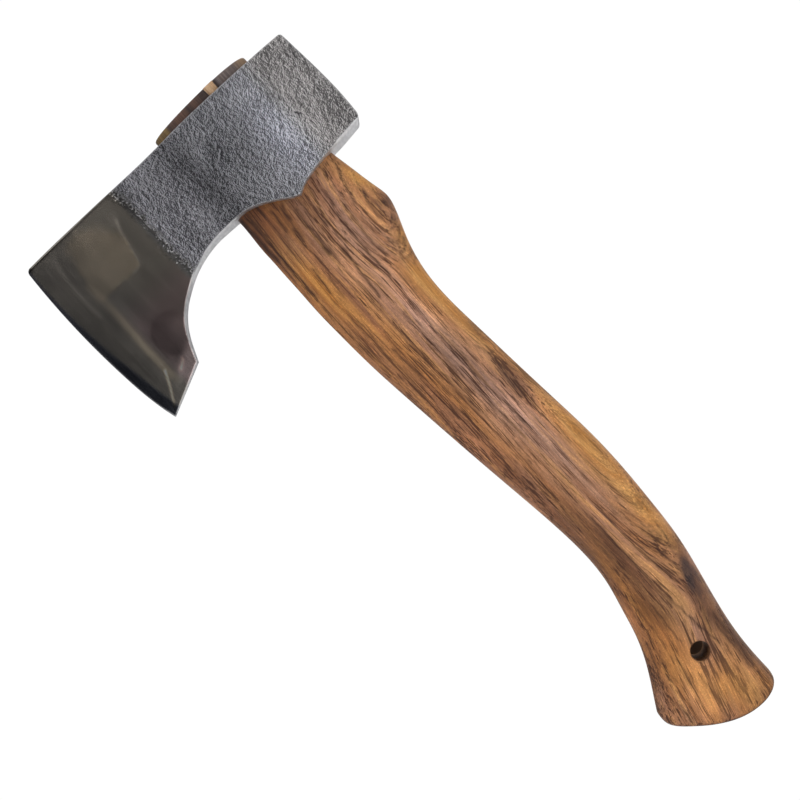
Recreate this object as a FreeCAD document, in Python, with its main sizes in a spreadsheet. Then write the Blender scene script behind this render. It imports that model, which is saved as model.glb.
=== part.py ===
"""Hatchet: a forged steel head wedged onto a curved hardwood handle.

Frame, millimetres: origin on the axis of the hanging hole, at half the
handle's thickness; +Z up the handle to the head, -X (front) towards the
cutting edge, +X (back) towards the poll, Y across the cheeks.
"""
import FreeCAD, Part
import Sketcher
import math
import os
from FreeCAD import Vector

# ------------------------------------------------------------------ driving dimensions
# alias, value, note
DIMENSIONS = [
    ("hole_radius", 4.5, "hanging hole radius"),
    ("eye_gap", 0.05, "gap between eye wall and tongue"),
    ("bit_radius", 390.0, "radius of the cutting edge, seen from the side"),
    ("bit_centre_x", 283.5, "cutting edge arc centre, X"),
    ("bit_centre_z", 296.5, "cutting edge arc centre, Z"),
    ("cheek_half", 15.2, "half width over the flat cheeks"),
    ("blank_width", 44.0, "forging blank, before the cheeks are shaped"),
    ("head_bevel", 0.8, "chamfer along the head's top edges"),
    ("wedge_top", 5.0, "main wedge thickness at the top"),
    ("wedge_tip", 1.4, "main wedge thickness at its tip"),
    ("wedge_base_z", 298.0, "main wedge tip height"),
    ("cross_x", 11.3, "cross wedge centre, X"),
    ("cross_top", 6.2, "cross wedge thickness at the top"),
    ("cross_tip", 3.4, "cross wedge thickness at its tip"),
    ("cross_base_z", 309.0, "cross wedge tip height"),
    ("saw_top_z", 342.0, "height the kerfs are cut from"),
    ("cross_proud", 0.15, "cross wedge stands proud of the crown by"),
    ("butt_round", 2.2, "rounding round the butt"),
    ("crown_round", 0.9, "rounding round the crown"),
]
POWERS = [
    ("grip_power", 2.5, "superellipse exponent of the grip"),
    ("eye_power", 2.5, "superellipse exponent of the eye"),
]

# Stations: height, front edge X, back edge X, half thickness.
SHOULDER = (264.0, -20.9, 33.6, 9.9)  # where the grip meets the tongue

# grip, top to bottom
GRIP_STATIONS = [
    SHOULDER,
    (256.0, -21.0, 34.95, 10.2),
    (249.5, -21.2, 36.25, 10.5),
    (243.5, -21.3, 37.05, 10.75),
    (238.5, -21.4, 36.1, 10.85),
    (232.0, -21.6, 33.75, 10.95),
    (224.0, -21.7, 30.6, 11.0),
    (215.0, -21.5, 27.9, 11.05),
    (203.0, -21.1, 25.95, 11.15),
    (190.0, -20.4, 25.6, 11.3),
    (174.0, -19.0, 26.45, 11.5),
    (152.0, -16.8, 27.85, 11.7),
    (125.0, -13.9, 29.75, 11.9),
    (99.0, -10.85, 31.25, 12.0),
    (78.0, -8.75, 30.95, 11.95),
    (62.0, -8.2, 29.95, 11.85),
    (48.0, -9.6, 28.75, 11.75),
    (35.0, -12.8, 26.7, 11.75),
    (22.0, -16.4, 23.8, 11.9),
    (9.0, -22.0, 20.85, 12.1),
    (-4.0, -29.6, 18.5, 12.3),
    (-16.0, -36.5, 17.4, 12.4),
    (-30.0, -42.5, 17.2, 12.4),
    (-46.0, -47.5, 17.2, 12.4),
]

# eye and tongue, bottom to top
EYE_STATIONS = [
    SHOULDER,
    (275.0, -20.1, 31.75, 9.6),
    (291.0, -20.3, 31.3, 9.3),
    (311.0, -21.7, 31.4, 9.5),
    (329.0, -23.2, 31.8, 10.0),
    (344.0, -24.2, 32.2, 10.4),
]
STATION_COUNTS = {"grip": len(GRIP_STATIONS), "eye": len(EYE_STATIONS)}
OVAL_POINTS = 24  # interpolated points round each section

# ------------------------------------------------------------------ side outlines (X, Z)
# crown of the tongue, above the head, front to back
CROWN = [
    (-30.0, 331.2), (-23.6, 332.1), (-15.0, 332.75), (-7.0, 333.15), (4.0, 333.55),
    (14.0, 333.75), (24.0, 333.7), (30.5, 333.35), (38.0, 332.4),
]
CROWN_CUT_TOP_Z = 360.0

# underside of the butt with its rounded toe, front to back
BUTT = [
    (-29.2, -0.5), (-31.5, -6.4), (-33.0, -11.0), (-32.6, -15.2), (-30.2, -18.5),
    (-26.2, -22.0), (-20.6, -26.5), (-14.0, -30.9), (-5.4, -34.8), (4.5, -36.6),
    (10.0, -36.25), (14.2, -34.6), (16.4, -31.9), (17.2, -28.0), (17.6, -22.0),
]
# far corners of the butt cut, back to front
BUTT_CUT_CORNERS = [(60.0, -22.0), (60.0, -80.0), (-80.0, -80.0), (-80.0, -0.5)]

# head outline, from the top edge round by the poll, the underside and the bit
HEAD_TOP = [
    (-103.4, 329.4), (-90.0, 329.4), (-80.0, 329.25), (-70.0, 329.08), (-58.0, 328.9),
    (-30.0, 328.35), (10.0, 328.5), (49.2, 327.8),
]
POLL = [(50.45, 326.2), (51.2, 316.0), (52.15, 300.0), (52.2, 289.0), (51.7, 280.5)]
UNDER_BACK = [
    (49.6, 276.15), (42.0, 275.3), (36.0, 274.8), (31.0, 274.65), (24.0, 273.8),
    (16.0, 272.2), (12.2, 271.0), (8.6, 269.1),
]
UNDER_FRONT = [
    (8.6, 269.1), (5.0, 270.5), (0.6, 273.4), (-3.9, 276.1), (-8.3, 278.3),
    (-12.7, 280.0), (-17.0, 280.9), (-20.5, 281.0), (-25.0, 281.0), (-30.5, 281.0),
    (-39.5, 279.85), (-48.4, 277.2), (-57.55, 272.3), (-62.6, 268.7), (-67.05, 264.3),
    (-71.45, 257.85), (-74.6, 251.15), (-76.45, 246.9),
]
HEEL_CORNERS = [(-100.7, 235.6), (-112.0, 274.7)]
BIT_TOE = [(-112.0, 325.4), (-106.6, 326.9), (-103.4, 329.4)]

# ------------------------------------------------------------------ head widths
# plan of the head (X, half width), in front of and behind the flat cheeks
BLADE_PLAN = [
    (-122.0, 2.3), (-98.0, 4.1), (-75.6, 6.0), (-60.0, 7.0), (-48.6, 8.1),
    (-38.0, 9.35), (-30.6, 10.9), (-26.0, 12.2), (-20.5, 14.0), (-16.0, 14.9),
]
POLL_PLAN = [(42.0, 14.9), (48.6, 14.05), (51.0, 12.8), (52.2, 10.4), (52.6, 7.0)]
CHEEK_FRONT_X = -12.0
CHEEK_BACK_X = 34.0
PLAN_RIM = [(-130.0, -40.0), (60.0, -40.0), (60.0, 40.0), (-130.0, 40.0)]

# ground blade (distance behind the cutting edge, half width)
GRIND = [
    (0.0, 0.0), (2.0, 0.45), (8.0, 1.6), (17.5, 3.05), (32.0, 5.15), (46.0, 6.65),
    (55.0, 7.7), (62.0, 9.1), (69.0, 11.9), (74.0, 16.0),
]
GRIND_FRONT_REACH = 60.0  # the grinding cut starts this far in front of the edge
GRIND_SIDE_REACH = 40.0

BEVEL_TOP_Z = 328.5  # height of the top edge the chamfer is measured from
BEVEL_CUT_TOP_Z = 331.0
BEVEL_OVERCUT = 1.0  # the chamfer cut starts this far outside the cheek

# ------------------------------------------------------------------ cuts and wedges
CUT_LENGTH = 400.0
HEAD_CUT_LENGTH = 900.0
WEDGE_CUT_BOTTOM_Z = 240.0

# alias prefix: sketch plane, expression for the centre, half width of the cut round the wedge
WEDGES = {
    "wedge": ("YZ_Plane", "0", 30.0),
    "cross": ("XZ_Plane", "dims.cross_x", 60.0),
}

# fillet edge selection
BUTT_EDGE_MAX_Z = -5.0
CROWN_EDGE_MIN_Z = 329.6
RIM_MIN_LENGTH = 60.0

doc = FreeCAD.newDocument("hatchet")
sheet = doc.addObject("Spreadsheet::Sheet", "dims")


def station_rows(prefix, what, stations):
    """Sheet rows for a list of stations."""
    rows = []
    for i, (z, front, back, half) in enumerate(stations, 1):
        key = "%s%d" % (prefix, i)
        rows += [
            (key + "_z", z, "%s station %d height" % (what, i)),
            (key + "_front", front, key + "_front"),
            (key + "_back", back, key + "_back"),
            (key + "_half", half, key + "_half"),
        ]
    return rows


def fill_sheet():
    """One row per driving dimension: note in column A, value in column B."""
    rows = DIMENSIONS + station_rows("grip", "handle", GRIP_STATIONS)
    rows += station_rows("eye", "eye", EYE_STATIONS) + POWERS
    for i, (alias, value, note) in enumerate(rows, 1):
        sheet.set("A%d" % i, note)
        sheet.set("B%d" % i, repr(float(value)))
        sheet.setAlias("B%d" % i, alias)
    doc.recompute()


def dim(alias):
    return float(sheet.get(alias))


# ------------------------------------------------------------------ sketch helpers
def new_body(label):
    body = doc.addObject("PartDesign::Body", label + "_body")
    body.Label = label
    doc.recompute()
    return body


def new_sketch(body, name, role, z_alias=None):
    """A sketch on an origin plane of the body, raised to a height from the sheet."""
    sketch = body.newObject("Sketcher::SketchObject", name)
    plane = next(o for o in body.Origin.OriginFeatures if o.Role == role)
    sketch.AttachmentSupport = [(plane, "")]
    sketch.MapMode = "FlatFace"
    if z_alias:
        sketch.setExpression("AttachmentOffset.Base.z", "dims." + z_alias)
    return sketch


def lines(points):
    """The straight pieces between successive points."""
    return [points[k:k + 2] for k in range(len(points) - 1)]


def polygon(points):
    return lines(points + points[:1])


def mirrored(points):
    """The same curve on the other side of Y = 0, run backwards."""
    return [(x, -y) for x, y in reversed(points)]


def draw_loop(sketch, pieces):
    """A closed loop of lines (2 points) and splines (3 or more), joined end to start."""
    ids = []
    for points in pieces:
        vectors = [Vector(x, y, 0) for x, y in points]
        if len(vectors) == 2:
            curve = Part.LineSegment(*vectors)
        else:
            curve = Part.BSplineCurve()
            curve.interpolate(vectors)
        ids.append(sketch.addGeometry(curve, False))
    for this, following in zip(ids, ids[1:] + ids[:1]):
        sketch.addConstraint(Sketcher.Constraint("Coincident", this, 2, following, 1))
    return ids


def pin_start(sketch, geometry, position, expressions):
    """Holds the start of a line at a position taken from the sheet."""
    for kind, value, expression in zip(("DistanceX", "DistanceY"), position, expressions):
        index = sketch.addConstraint(Sketcher.Constraint(kind, -1, 1, geometry, 1, value))
        sketch.setExpression("Constraints[%d]" % index, expression)


def oval(width, half, power, grow):
    """A closed spline on a superellipse centred on the sketch origin."""
    semi_x = width / 2.0 + grow
    semi_y = half + grow
    points = []
    for k in range(OVAL_POINTS):
        angle = 2 * math.pi * k / OVAL_POINTS
        cosine, sine = math.cos(angle), math.sin(angle)
        x = semi_x * math.copysign(abs(cosine) ** (2.0 / power), cosine)
        y = semi_y * math.copysign(abs(sine) ** (2.0 / power), sine)
        points.append(Vector(x, y, 0))
    curve = Part.BSplineCurve()
    curve.interpolate(Points=points, PeriodicFlag=True)
    return curve


# ------------------------------------------------------------------ feature helpers
def loft_stations(body, name, prefix, grow=0.0, kind="PartDesign::AdditiveLoft"):
    """A loft through the oval sections of the grip or the eye."""
    sections = []
    for i in range(1, STATION_COUNTS[prefix] + 1):
        key = "%s%d" % (prefix, i)
        section_name = "%s_%s_section_%02d" % (body.Name, prefix, i)
        sketch = new_sketch(body, section_name, "XY_Plane", key + "_z")
        middle = "(dims.%s_front + dims.%s_back) / 2" % (key, key)
        sketch.setExpression("AttachmentOffset.Base.x", middle)
        width = dim(key + "_back") - dim(key + "_front")
        curve = oval(width, dim(key + "_half"), dim(prefix + "_power"), grow)
        sketch.addGeometry(curve, False)
        sections.append(sketch)
    doc.recompute()
    loft = body.newObject(kind, name)
    loft.Profile = sections[0]
    loft.Sections = sections[1:]
    loft.Ruled = False
    loft.Closed = False
    doc.recompute()
    for sketch in sections:
        sketch.Visibility = False


def require_cut(body, before, name):
    """Stops the build if a cut has removed nothing."""
    now = body.Shape.Volume
    if not now < before - 1e-3:
        raise RuntimeError("%s cut nothing: %.1f -> %.1f" % (name, before, now))


def cut_through(body, name, sketch, length=CUT_LENGTH):
    """A pocket cut to both sides of its sketch."""
    before = body.Shape.Volume
    pocket = body.newObject("PartDesign::Pocket", name)
    pocket.Profile = sketch
    pocket.Length = length
    pocket.Midplane = True
    doc.recompute()
    require_cut(body, before, name)


def cut_crown(body, lift=0.0):
    """Cuts the top of a body to the crown curve, raised by lift."""
    sketch = new_sketch(body, body.Label + "_crown_cut", "XZ_Plane")
    curve = [(x, z + lift) for x, z in CROWN]
    first, last = curve[0], curve[-1]
    above = [(last[0], CROWN_CUT_TOP_Z), (first[0], CROWN_CUT_TOP_Z)]
    draw_loop(sketch, [curve] + lines([last] + above + [first]))
    cut_through(body, body.Label + "_crown", sketch)


def cut_wedge(body, name, sketch_name, prefix, outside=False):
    """Cuts a wedge's taper out of a body, or cuts away all that lies outside the taper."""
    role, centre_expression, reach = WEDGES[prefix]
    centre = dim("cross_x") if prefix == "cross" else 0.0
    base_alias = prefix + "_base_z"
    corners, expressions = [], []
    for sign, end, z_alias in (
        (-1, "top", "saw_top_z"),
        (-1, "tip", base_alias),
        (1, "tip", base_alias),
        (1, "top", "saw_top_z"),
    ):
        width_alias = "%s_%s" % (prefix, end)
        corners.append((centre + sign * dim(width_alias) / 2, dim(z_alias)))
        operator = "-" if sign < 0 else "+"
        across = "%s %s dims.%s / 2" % (centre_expression, operator, width_alias)
        expressions.append((across, "dims." + z_alias))
    outline = list(corners)
    if outside:
        top_z = dim("saw_top_z")
        outline += [
            (centre + reach, top_z),
            (centre + reach, WEDGE_CUT_BOTTOM_Z),
            (centre - reach, WEDGE_CUT_BOTTOM_Z),
            (centre - reach, top_z),
        ]
    sketch = new_sketch(body, sketch_name, role)
    ids = draw_loop(sketch, polygon(outline))
    for geometry, corner, pair in zip(ids, corners, expressions):
        pin_start(sketch, geometry, corner, pair)
    cut_through(body, name, sketch)


def round_edges(body, name, wanted, radius_alias):
    """A fillet on every edge whose bounding box and length pass the test."""
    base = body.Tip
    names = [
        "Edge%d" % i
        for i, edge in enumerate(base.Shape.Edges, 1)
        if wanted(edge.optimalBoundingBox(False, False), edge.Length)
    ]
    if not names:
        raise RuntimeError("no edge for " + name)
    fillet = body.newObject("PartDesign::Fillet", name)
    fillet.Base = (base, names)
    fillet.setExpression("Radius", "dims." + radius_alias)
    doc.recompute()


# ------------------------------------------------------------------ handle
def is_butt_rim(box, length):
    return box.ZMax < BUTT_EDGE_MAX_Z and length > RIM_MIN_LENGTH


def is_crown_rim(box, length):
    return box.ZMin > CROWN_EDGE_MIN_Z and length > RIM_MIN_LENGTH


def make_handle():
    body = new_body("handle")
    loft_stations(body, "handle_grip", "grip")
    loft_stations(body, "handle_tongue", "eye")

    sketch = new_sketch(body, "handle_butt_cut", "XZ_Plane")
    draw_loop(sketch, [BUTT] + lines([BUTT[-1]] + BUTT_CUT_CORNERS + [BUTT[0]]))
    cut_through(body, "handle_butt", sketch)
    round_edges(body, "handle_butt_rounding", is_butt_rim, "butt_round")

    # The crown is rounded while its rim is whole, before the kerfs divide it.
    cut_crown(body)
    round_edges(body, "handle_crown_rounding", is_crown_rim, "crown_round")
    cut_wedge(body, "handle_kerf", "handle_kerf_sketch", "wedge")
    cut_wedge(body, "handle_cross_kerf", "handle_cross_kerf_sketch", "cross")

    sketch = new_sketch(body, "handle_hole_sketch", "XZ_Plane")
    radius = dim("hole_radius")
    circle = sketch.addGeometry(Part.Circle(Vector(0, 0, 0), Vector(0, 0, 1), radius), False)
    sketch.addConstraint(Sketcher.Constraint("Coincident", circle, 3, -1, 1))
    index = sketch.addConstraint(Sketcher.Constraint("Radius", circle, radius))
    sketch.setExpression("Constraints[%d]" % index, "dims.hole_radius")
    cut_through(body, "handle_hole", sketch)
    return body


# ------------------------------------------------------------------ wedges
def is_wedge_end_edge(box, length):
    """The short crown edges across the main wedge, at its front and back ends."""
    at_end = box.XMax < -22 or box.XMin > 31
    runs_across = box.YMax - box.YMin > 3.0 and box.XMax - box.XMin < 1.5
    return box.ZMin > CROWN_EDGE_MIN_Z and at_end and runs_across


def make_main_wedge():
    """Wedge along X, cut through by the cross wedge's kerf."""
    body = new_body("main_wedge")
    loft_stations(body, "main_wedge_blank", "eye")
    cut_wedge(body, "main_wedge_sides", "main_wedge_taper", "wedge", outside=True)
    cut_wedge(body, "main_wedge_cross_kerf", "main_wedge_cross_sketch", "cross")
    cut_crown(body)
    round_edges(body, "main_wedge_rounding", is_wedge_end_edge, "crown_round")
    return body


def make_cross_wedge():
    """Wedge along Y, standing slightly proud of the crown."""
    body = new_body("cross_wedge")
    loft_stations(body, "cross_wedge_blank", "eye")
    cut_wedge(body, "cross_wedge_sides", "cross_wedge_taper", "cross", outside=True)
    cut_crown(body, dim("cross_proud"))
    return body


# ------------------------------------------------------------------ head
def pad_head_blank(body):
    sketch = new_sketch(body, "head_outline", "XZ_Plane")
    pieces = [HEAD_TOP, [HEAD_TOP[-1], POLL[0]], POLL, [POLL[-1], UNDER_BACK[0]]]
    pieces += [UNDER_BACK, UNDER_FRONT]
    pieces += lines([UNDER_FRONT[-1]] + HEEL_CORNERS + [BIT_TOE[0]])
    draw_loop(sketch, pieces + [BIT_TOE])
    pad = body.newObject("PartDesign::Pad", "head_blank")
    pad.Profile = sketch
    pad.Midplane = True
    pad.setExpression("Length", "dims.blank_width")
    doc.recompute()


def cut_head_plan(body):
    """Cuts away everything outside the plan of the blade, flat cheeks and poll."""
    cheek_half = dim("cheek_half")
    cheek = [(CHEEK_FRONT_X, cheek_half), (CHEEK_BACK_X, cheek_half)]
    blade = BLADE_PLAN + cheek[:1]
    poll = cheek[1:] + POLL_PLAN
    near = [mirrored(poll), mirrored(cheek), mirrored(blade)]
    pieces = [blade, cheek, poll, [poll[-1], near[0][0]]]
    pieces += near + [[near[-1][-1], blade[0]]]
    sketch = new_sketch(body, "head_plan", "XY_Plane")
    draw_loop(sketch, pieces)
    draw_loop(sketch, polygon(PLAN_RIM))
    cut_through(body, "head_cheeks", sketch, HEAD_CUT_LENGTH)


def bevel_head_top(body):
    """A 45 degree chamfer along the top edges of the flat cheeks."""
    cheek_half = dim("cheek_half")
    slope_sum = BEVEL_TOP_Z + cheek_half - dim("head_bevel")  # Y + Z along the chamfer
    outer_y = cheek_half + BEVEL_OVERCUT
    inner_y = slope_sum - BEVEL_CUT_TOP_Z
    sketch = new_sketch(body, "head_top_chamfer", "YZ_Plane")
    for side in (1, -1):
        draw_loop(sketch, polygon([
            (side * outer_y, slope_sum - outer_y),
            (side * outer_y, BEVEL_CUT_TOP_Z),
            (side * inner_y, BEVEL_CUT_TOP_Z),
        ]))
    cut_through(body, "head_top_bevel", sketch, HEAD_CUT_LENGTH)


def grind_blade(body):
    """Grinds the blade as a surface of revolution round the centre of the edge arc."""
    before = body.Shape.Volume
    sketch = new_sketch(body, "head_grind_profile", "XY_Plane", "bit_centre_z")
    centre_x = dim("bit_centre_x")
    edge_x = centre_x - dim("bit_radius")
    profile = [(edge_x + distance, half) for distance, half in GRIND]
    opposite = mirrored(profile)
    back_x = profile[-1][0]
    front_x = edge_x - GRIND_FRONT_REACH
    around = [
        profile[-1],
        (back_x, GRIND_SIDE_REACH),
        (front_x, GRIND_SIDE_REACH),
        (front_x, -GRIND_SIDE_REACH),
        (back_x, -GRIND_SIDE_REACH),
        opposite[0],
    ]
    draw_loop(sketch, [profile] + lines(around) + [opposite])
    axis = Part.LineSegment(Vector(centre_x, -20, 0), Vector(centre_x, 20, 0))
    sketch.addGeometry(axis, True)
    groove = body.newObject("PartDesign::Groove", "head_grind")
    groove.Profile = sketch
    groove.ReferenceAxis = (sketch, ["Axis0"])
    groove.Angle = 360.0
    doc.recompute()
    require_cut(body, before, "head_grind")


def make_head():
    body = new_body("head")
    pad_head_blank(body)
    cut_head_plan(body)
    bevel_head_top(body)
    grind_blade(body)
    before = body.Shape.Volume
    loft_stations(body, "head_eye", "eye", dim("eye_gap"), "PartDesign::SubtractiveLoft")
    require_cut(body, before, "head_eye")
    return body


# ------------------------------------------------------------------ build and export
def export(bodies):
    doc.recompute()
    failed = [o.Label for o in doc.Objects if "Invalid" in o.State or "Error" in o.State]
    if failed:
        raise RuntimeError("failed objects: %s" % failed)
    os.makedirs("parts", exist_ok=True)
    for body in bodies:
        shape = body.Shape
        if shape.isNull() or not shape.isValid() or not shape.Solids:
            raise RuntimeError("bad shape: " + body.Label)
        shape.exportStep("parts/%s.step" % body.Label)


fill_sheet()
export([make_handle(), make_main_wedge(), make_cross_wedge(), make_head()])
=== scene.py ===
# A hatchet standing upright: wooden handle, forged steel head, and two wedges in the head's eye.
# The handle runs up Z. The cutting edge faces -X (front) and the poll +X (back). The cheeks face
# -Y (near) and +Y (far). The hanging hole's axis is the Y axis. Sizes are in mm unless noted.
import math

import bmesh
import bpy
import numpy as np
from mathutils import Matrix, Vector
from mathutils.geometry import delaunay_2d_cdt


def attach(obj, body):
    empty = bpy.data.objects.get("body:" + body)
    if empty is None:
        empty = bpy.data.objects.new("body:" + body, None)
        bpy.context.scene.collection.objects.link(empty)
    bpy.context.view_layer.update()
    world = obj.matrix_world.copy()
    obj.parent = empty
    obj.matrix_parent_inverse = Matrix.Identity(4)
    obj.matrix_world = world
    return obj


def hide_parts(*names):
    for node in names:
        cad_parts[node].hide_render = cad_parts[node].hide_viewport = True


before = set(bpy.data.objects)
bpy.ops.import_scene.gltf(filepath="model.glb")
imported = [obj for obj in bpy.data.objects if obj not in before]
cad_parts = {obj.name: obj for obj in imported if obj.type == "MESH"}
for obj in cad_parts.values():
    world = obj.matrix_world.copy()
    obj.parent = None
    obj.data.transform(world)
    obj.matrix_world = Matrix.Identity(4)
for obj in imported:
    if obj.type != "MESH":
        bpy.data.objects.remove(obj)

MM = 0.001
ANY = math.inf  # a patch this wide does not fade
scene = bpy.context.scene


def note_size():
    """Updates the view layer; called before and after the work."""
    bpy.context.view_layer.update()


note_size()


# ====================================================================== curves and noise
def natural_spline(knots, values):
    """Natural cubic spline through the values; returns a function."""
    t = np.asarray(knots, float)
    y = np.asarray(values, float)
    count = len(t)
    if count == 2:
        return lambda at: y[0] + (y[1] - y[0]) * (np.asarray(at, float) - t[0]) / (t[1] - t[0])
    gap = np.diff(t)
    matrix = np.zeros((count, count))
    right = np.zeros(count)
    matrix[0, 0] = matrix[-1, -1] = 1.0
    for i in range(1, count - 1):
        matrix[i, i - 1:i + 2] = gap[i - 1], 2 * (gap[i - 1] + gap[i]), gap[i]
        right[i] = 6 * ((y[i + 1] - y[i]) / gap[i] - (y[i] - y[i - 1]) / gap[i - 1])
    bend = np.linalg.solve(matrix, right)

    def value_at(at):
        at = np.asarray(at, float)
        k = np.clip(np.searchsorted(t, at) - 1, 0, count - 2)
        d = at - t[k]
        width = gap[k]
        slope = (y[k + 1] - y[k]) / width - width * (2 * bend[k] + bend[k + 1]) / 6
        return y[k] + d * (slope + d * (bend[k] / 2 + d * (bend[k + 1] - bend[k]) / (6 * width)))

    return value_at


def run_length(points):
    """Distance along a chain of points, starting at 0."""
    return np.concatenate([[0], np.cumsum(np.linalg.norm(np.diff(points, axis=0), axis=1))])


def dense(points, step):
    """Points every step along a smooth curve through points; the ends are kept."""
    points = np.asarray(points, float)
    t = run_length(points)
    fine = np.linspace(0, t[-1], 4000)
    curve = np.stack([natural_spline(t, points[:, k])(fine) for k in (0, 1)], 1)
    run = run_length(curve)
    at = np.linspace(0, run[-1], max(2, int(round(run[-1] / step)) + 1))
    return np.stack([np.interp(at, run, curve[:, 0]), np.interp(at, run, curve[:, 1])], 1)


def smooth(start, end, value):
    """Eased step from 0 at start to 1 at end."""
    t = np.clip((np.asarray(value, float) - start) / (end - start), 0, 1)
    return t * t * (3 - 2 * t)


def columns(*values):
    """Stacks arrays and plain numbers as the columns of one array."""
    return np.stack(np.broadcast_arrays(*values), 1)


def chunks(index, size):
    """Splits an index array into parts of about size, to save memory."""
    return np.array_split(index, max(1, len(index) // size))


def lattice_hash(i, j, k, seed):
    """A number from 0 to 1 for each lattice point."""
    h = (i.astype(np.int64) * 374761393 + j.astype(np.int64) * 668265263
         + k.astype(np.int64) * 2147483647 + seed * 974634777) & 0xFFFFFFFF
    h = ((h ^ (h >> 13)) * 1274126177) & 0xFFFFFFFF
    h = ((h ^ (h >> 16)) * 2246822519) & 0xFFFFFFFF
    return ((h ^ (h >> 15)) & 0xFFFFFF) / float(0xFFFFFF)


def gradient_noise(points, seed):
    """Gradient noise in 3-D, about -1 to 1."""
    cell = np.floor(points).astype(np.int64)
    f = points - cell
    ease = f * f * f * (f * (f * 6 - 15) + 10)
    total = np.zeros(len(points))
    for corner in np.ndindex(2, 2, 2):
        i, j, k = (cell[:, axis] + corner[axis] for axis in range(3))
        turn = lattice_hash(i, j, k, seed) * 2 * math.pi
        up = lattice_hash(i, j, k, seed + 77) * 2 - 1
        flat = np.sqrt(1 - up * up)
        x, y, z = (f[:, axis] - corner[axis] for axis in range(3))
        slope = flat * np.cos(turn) * x + flat * np.sin(turn) * y + up * z
        wx, wy, wz = (ease[:, a] if corner[a] else 1 - ease[:, a] for a in range(3))
        total += wx * wy * wz * slope
    return total * 1.6


def fractal(x, y, z, octaves, gain, seed):
    """Layered noise at (x, y, z), about -1 to 1."""
    points = columns(x, y, z)
    total, strength, most = np.zeros(len(points)), 1.0, 0.0
    for k in range(octaves):
        total += strength * gradient_noise(points * (2.03 ** k) + 13.7 * k, seed + k)
        most += strength
        strength *= gain
    return total / most


# ====================================================================== painted fields (side view)
def spots(x, z, rows):
    """Sum of soft oval patches: x, z, half width, half height, strength, lean (0 if left out)."""
    total = np.zeros(len(x))
    for cx, cz, half_width, half_height, strength, *rest in rows:
        lean = rest[0] if rest else 0.0
        dz = z - cz
        dx = x - cx - lean * dz
        total += strength * np.exp(-((dx / half_width) ** 2 + (dz / half_height) ** 2))
    return total


def along(x, z, points, width, ends=1.2):
    """1 on a smooth line through points, fading over width and easing out over ends."""
    line = dense(points, 0.4) if len(points) > 2 else np.linspace(points[0], points[1], 60)
    total = np.zeros(len(x))
    low, high = line.min(0) - 4 * width, line.max(0) + 4 * width
    near = np.where((x > low[0]) & (x < high[0]) & (z > low[1]) & (z < high[1]))[0]
    step = np.linalg.norm(line[1] - line[0])
    for part in chunks(near, 4000):
        square = (x[part][:, None] - line[None, :, 0]) ** 2 + (z[part][:, None] - line[None, :, 1]) ** 2
        k = square.argmin(1)
        run = np.minimum(k, len(line) - 1 - k) * step
        total[part] = np.exp(-square.min(1) / width ** 2) * smooth(-0.2, ends, run)
    return total


def lines(x, z, rows):
    """Sum of soft lines: strength, width, ease of the ends, points."""
    return sum(strength * along(x, z, points, width, ends)
               for strength, width, ends, points in rows)


# ====================================================================== shape of the handle
# z, front x, back x, half thickness; from the top of the eye down to the butt
SECTIONS = np.array([
    (344, -24.2, 32.2, 10.4), (329, -23.2, 31.8, 10.0), (311, -21.7, 31.4, 9.5),
    (291, -20.3, 31.3, 9.3), (275, -20.1, 31.75, 9.6), (264, -20.9, 33.6, 9.9),
    (256, -21.0, 34.95, 10.2), (249.5, -21.2, 36.25, 10.5), (243.5, -21.3, 37.05, 10.75),
    (238.5, -21.4, 36.1, 10.85), (232, -21.6, 33.75, 10.95), (224, -21.7, 30.6, 11.0),
    (215, -21.5, 27.9, 11.05), (203, -21.1, 25.95, 11.15), (190, -20.4, 25.6, 11.3),
    (174, -19.0, 26.45, 11.5), (152, -16.8, 27.85, 11.7), (125, -13.9, 29.75, 11.9),
    (99, -10.85, 31.25, 12.0), (78, -8.75, 30.95, 11.95), (62, -8.2, 29.95, 11.85),
    (48, -9.6, 28.75, 11.75), (35, -12.8, 26.7, 11.75), (22, -16.4, 23.8, 11.9),
    (9, -22.0, 20.85, 12.1), (-4, -29.6, 18.5, 12.3), (-16, -36.5, 17.4, 12.4),
    (-30, -42.5, 17.2, 12.4), (-46, -47.5, 17.2, 12.4)])[::-1]
POWER = 2.5  # exponent of the rounded cross-section
# x, z of the top of the handle, front to back
CROWN = [
    (-30, 331.2), (-23.6, 332.1), (-15, 332.75), (-7, 333.15), (4, 333.55), (14, 333.75),
    (24, 333.7), (30.5, 333.35), (38, 332.4)]
# x, z of the lower end, from its front corner round to the back
BUTT = [
    (-29.2, -0.5), (-31.5, -6.4), (-33, -11), (-32.6, -15.2), (-30.2, -18.5), (-26.2, -22),
    (-20.6, -26.5), (-14, -30.9), (-5.4, -34.8), (4.5, -36.6), (10, -36.25), (14.2, -34.6),
    (16.4, -31.9), (17.2, -28), (17.6, -22)]
HOLE_RADIUS = 4.5
HOLE_EASE_START = 11.8  # |y| where the hole begins to flare at 45 degrees
HOLE_EASE_WIDTH = 8.2
SAW_Z = 342.0  # height at which the wedge tops are measured
CUT_OVER = 20.0  # how far the wedge cutters run above that
# width at the top, width at the tip, height of the tip
MAIN_WEDGE = (5.0, 1.4, 298.0)
CROSS_WEDGE = (6.2, 3.4, 309.0)
CROSS_X = 11.3
CROSS_PROUD = 0.15  # how far the cross wedge stands above the crown
WEDGE_STEP, WEDGE_LOW_Z = 1.4, 292.0
SHELL_TOP_Z = 328.0

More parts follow.
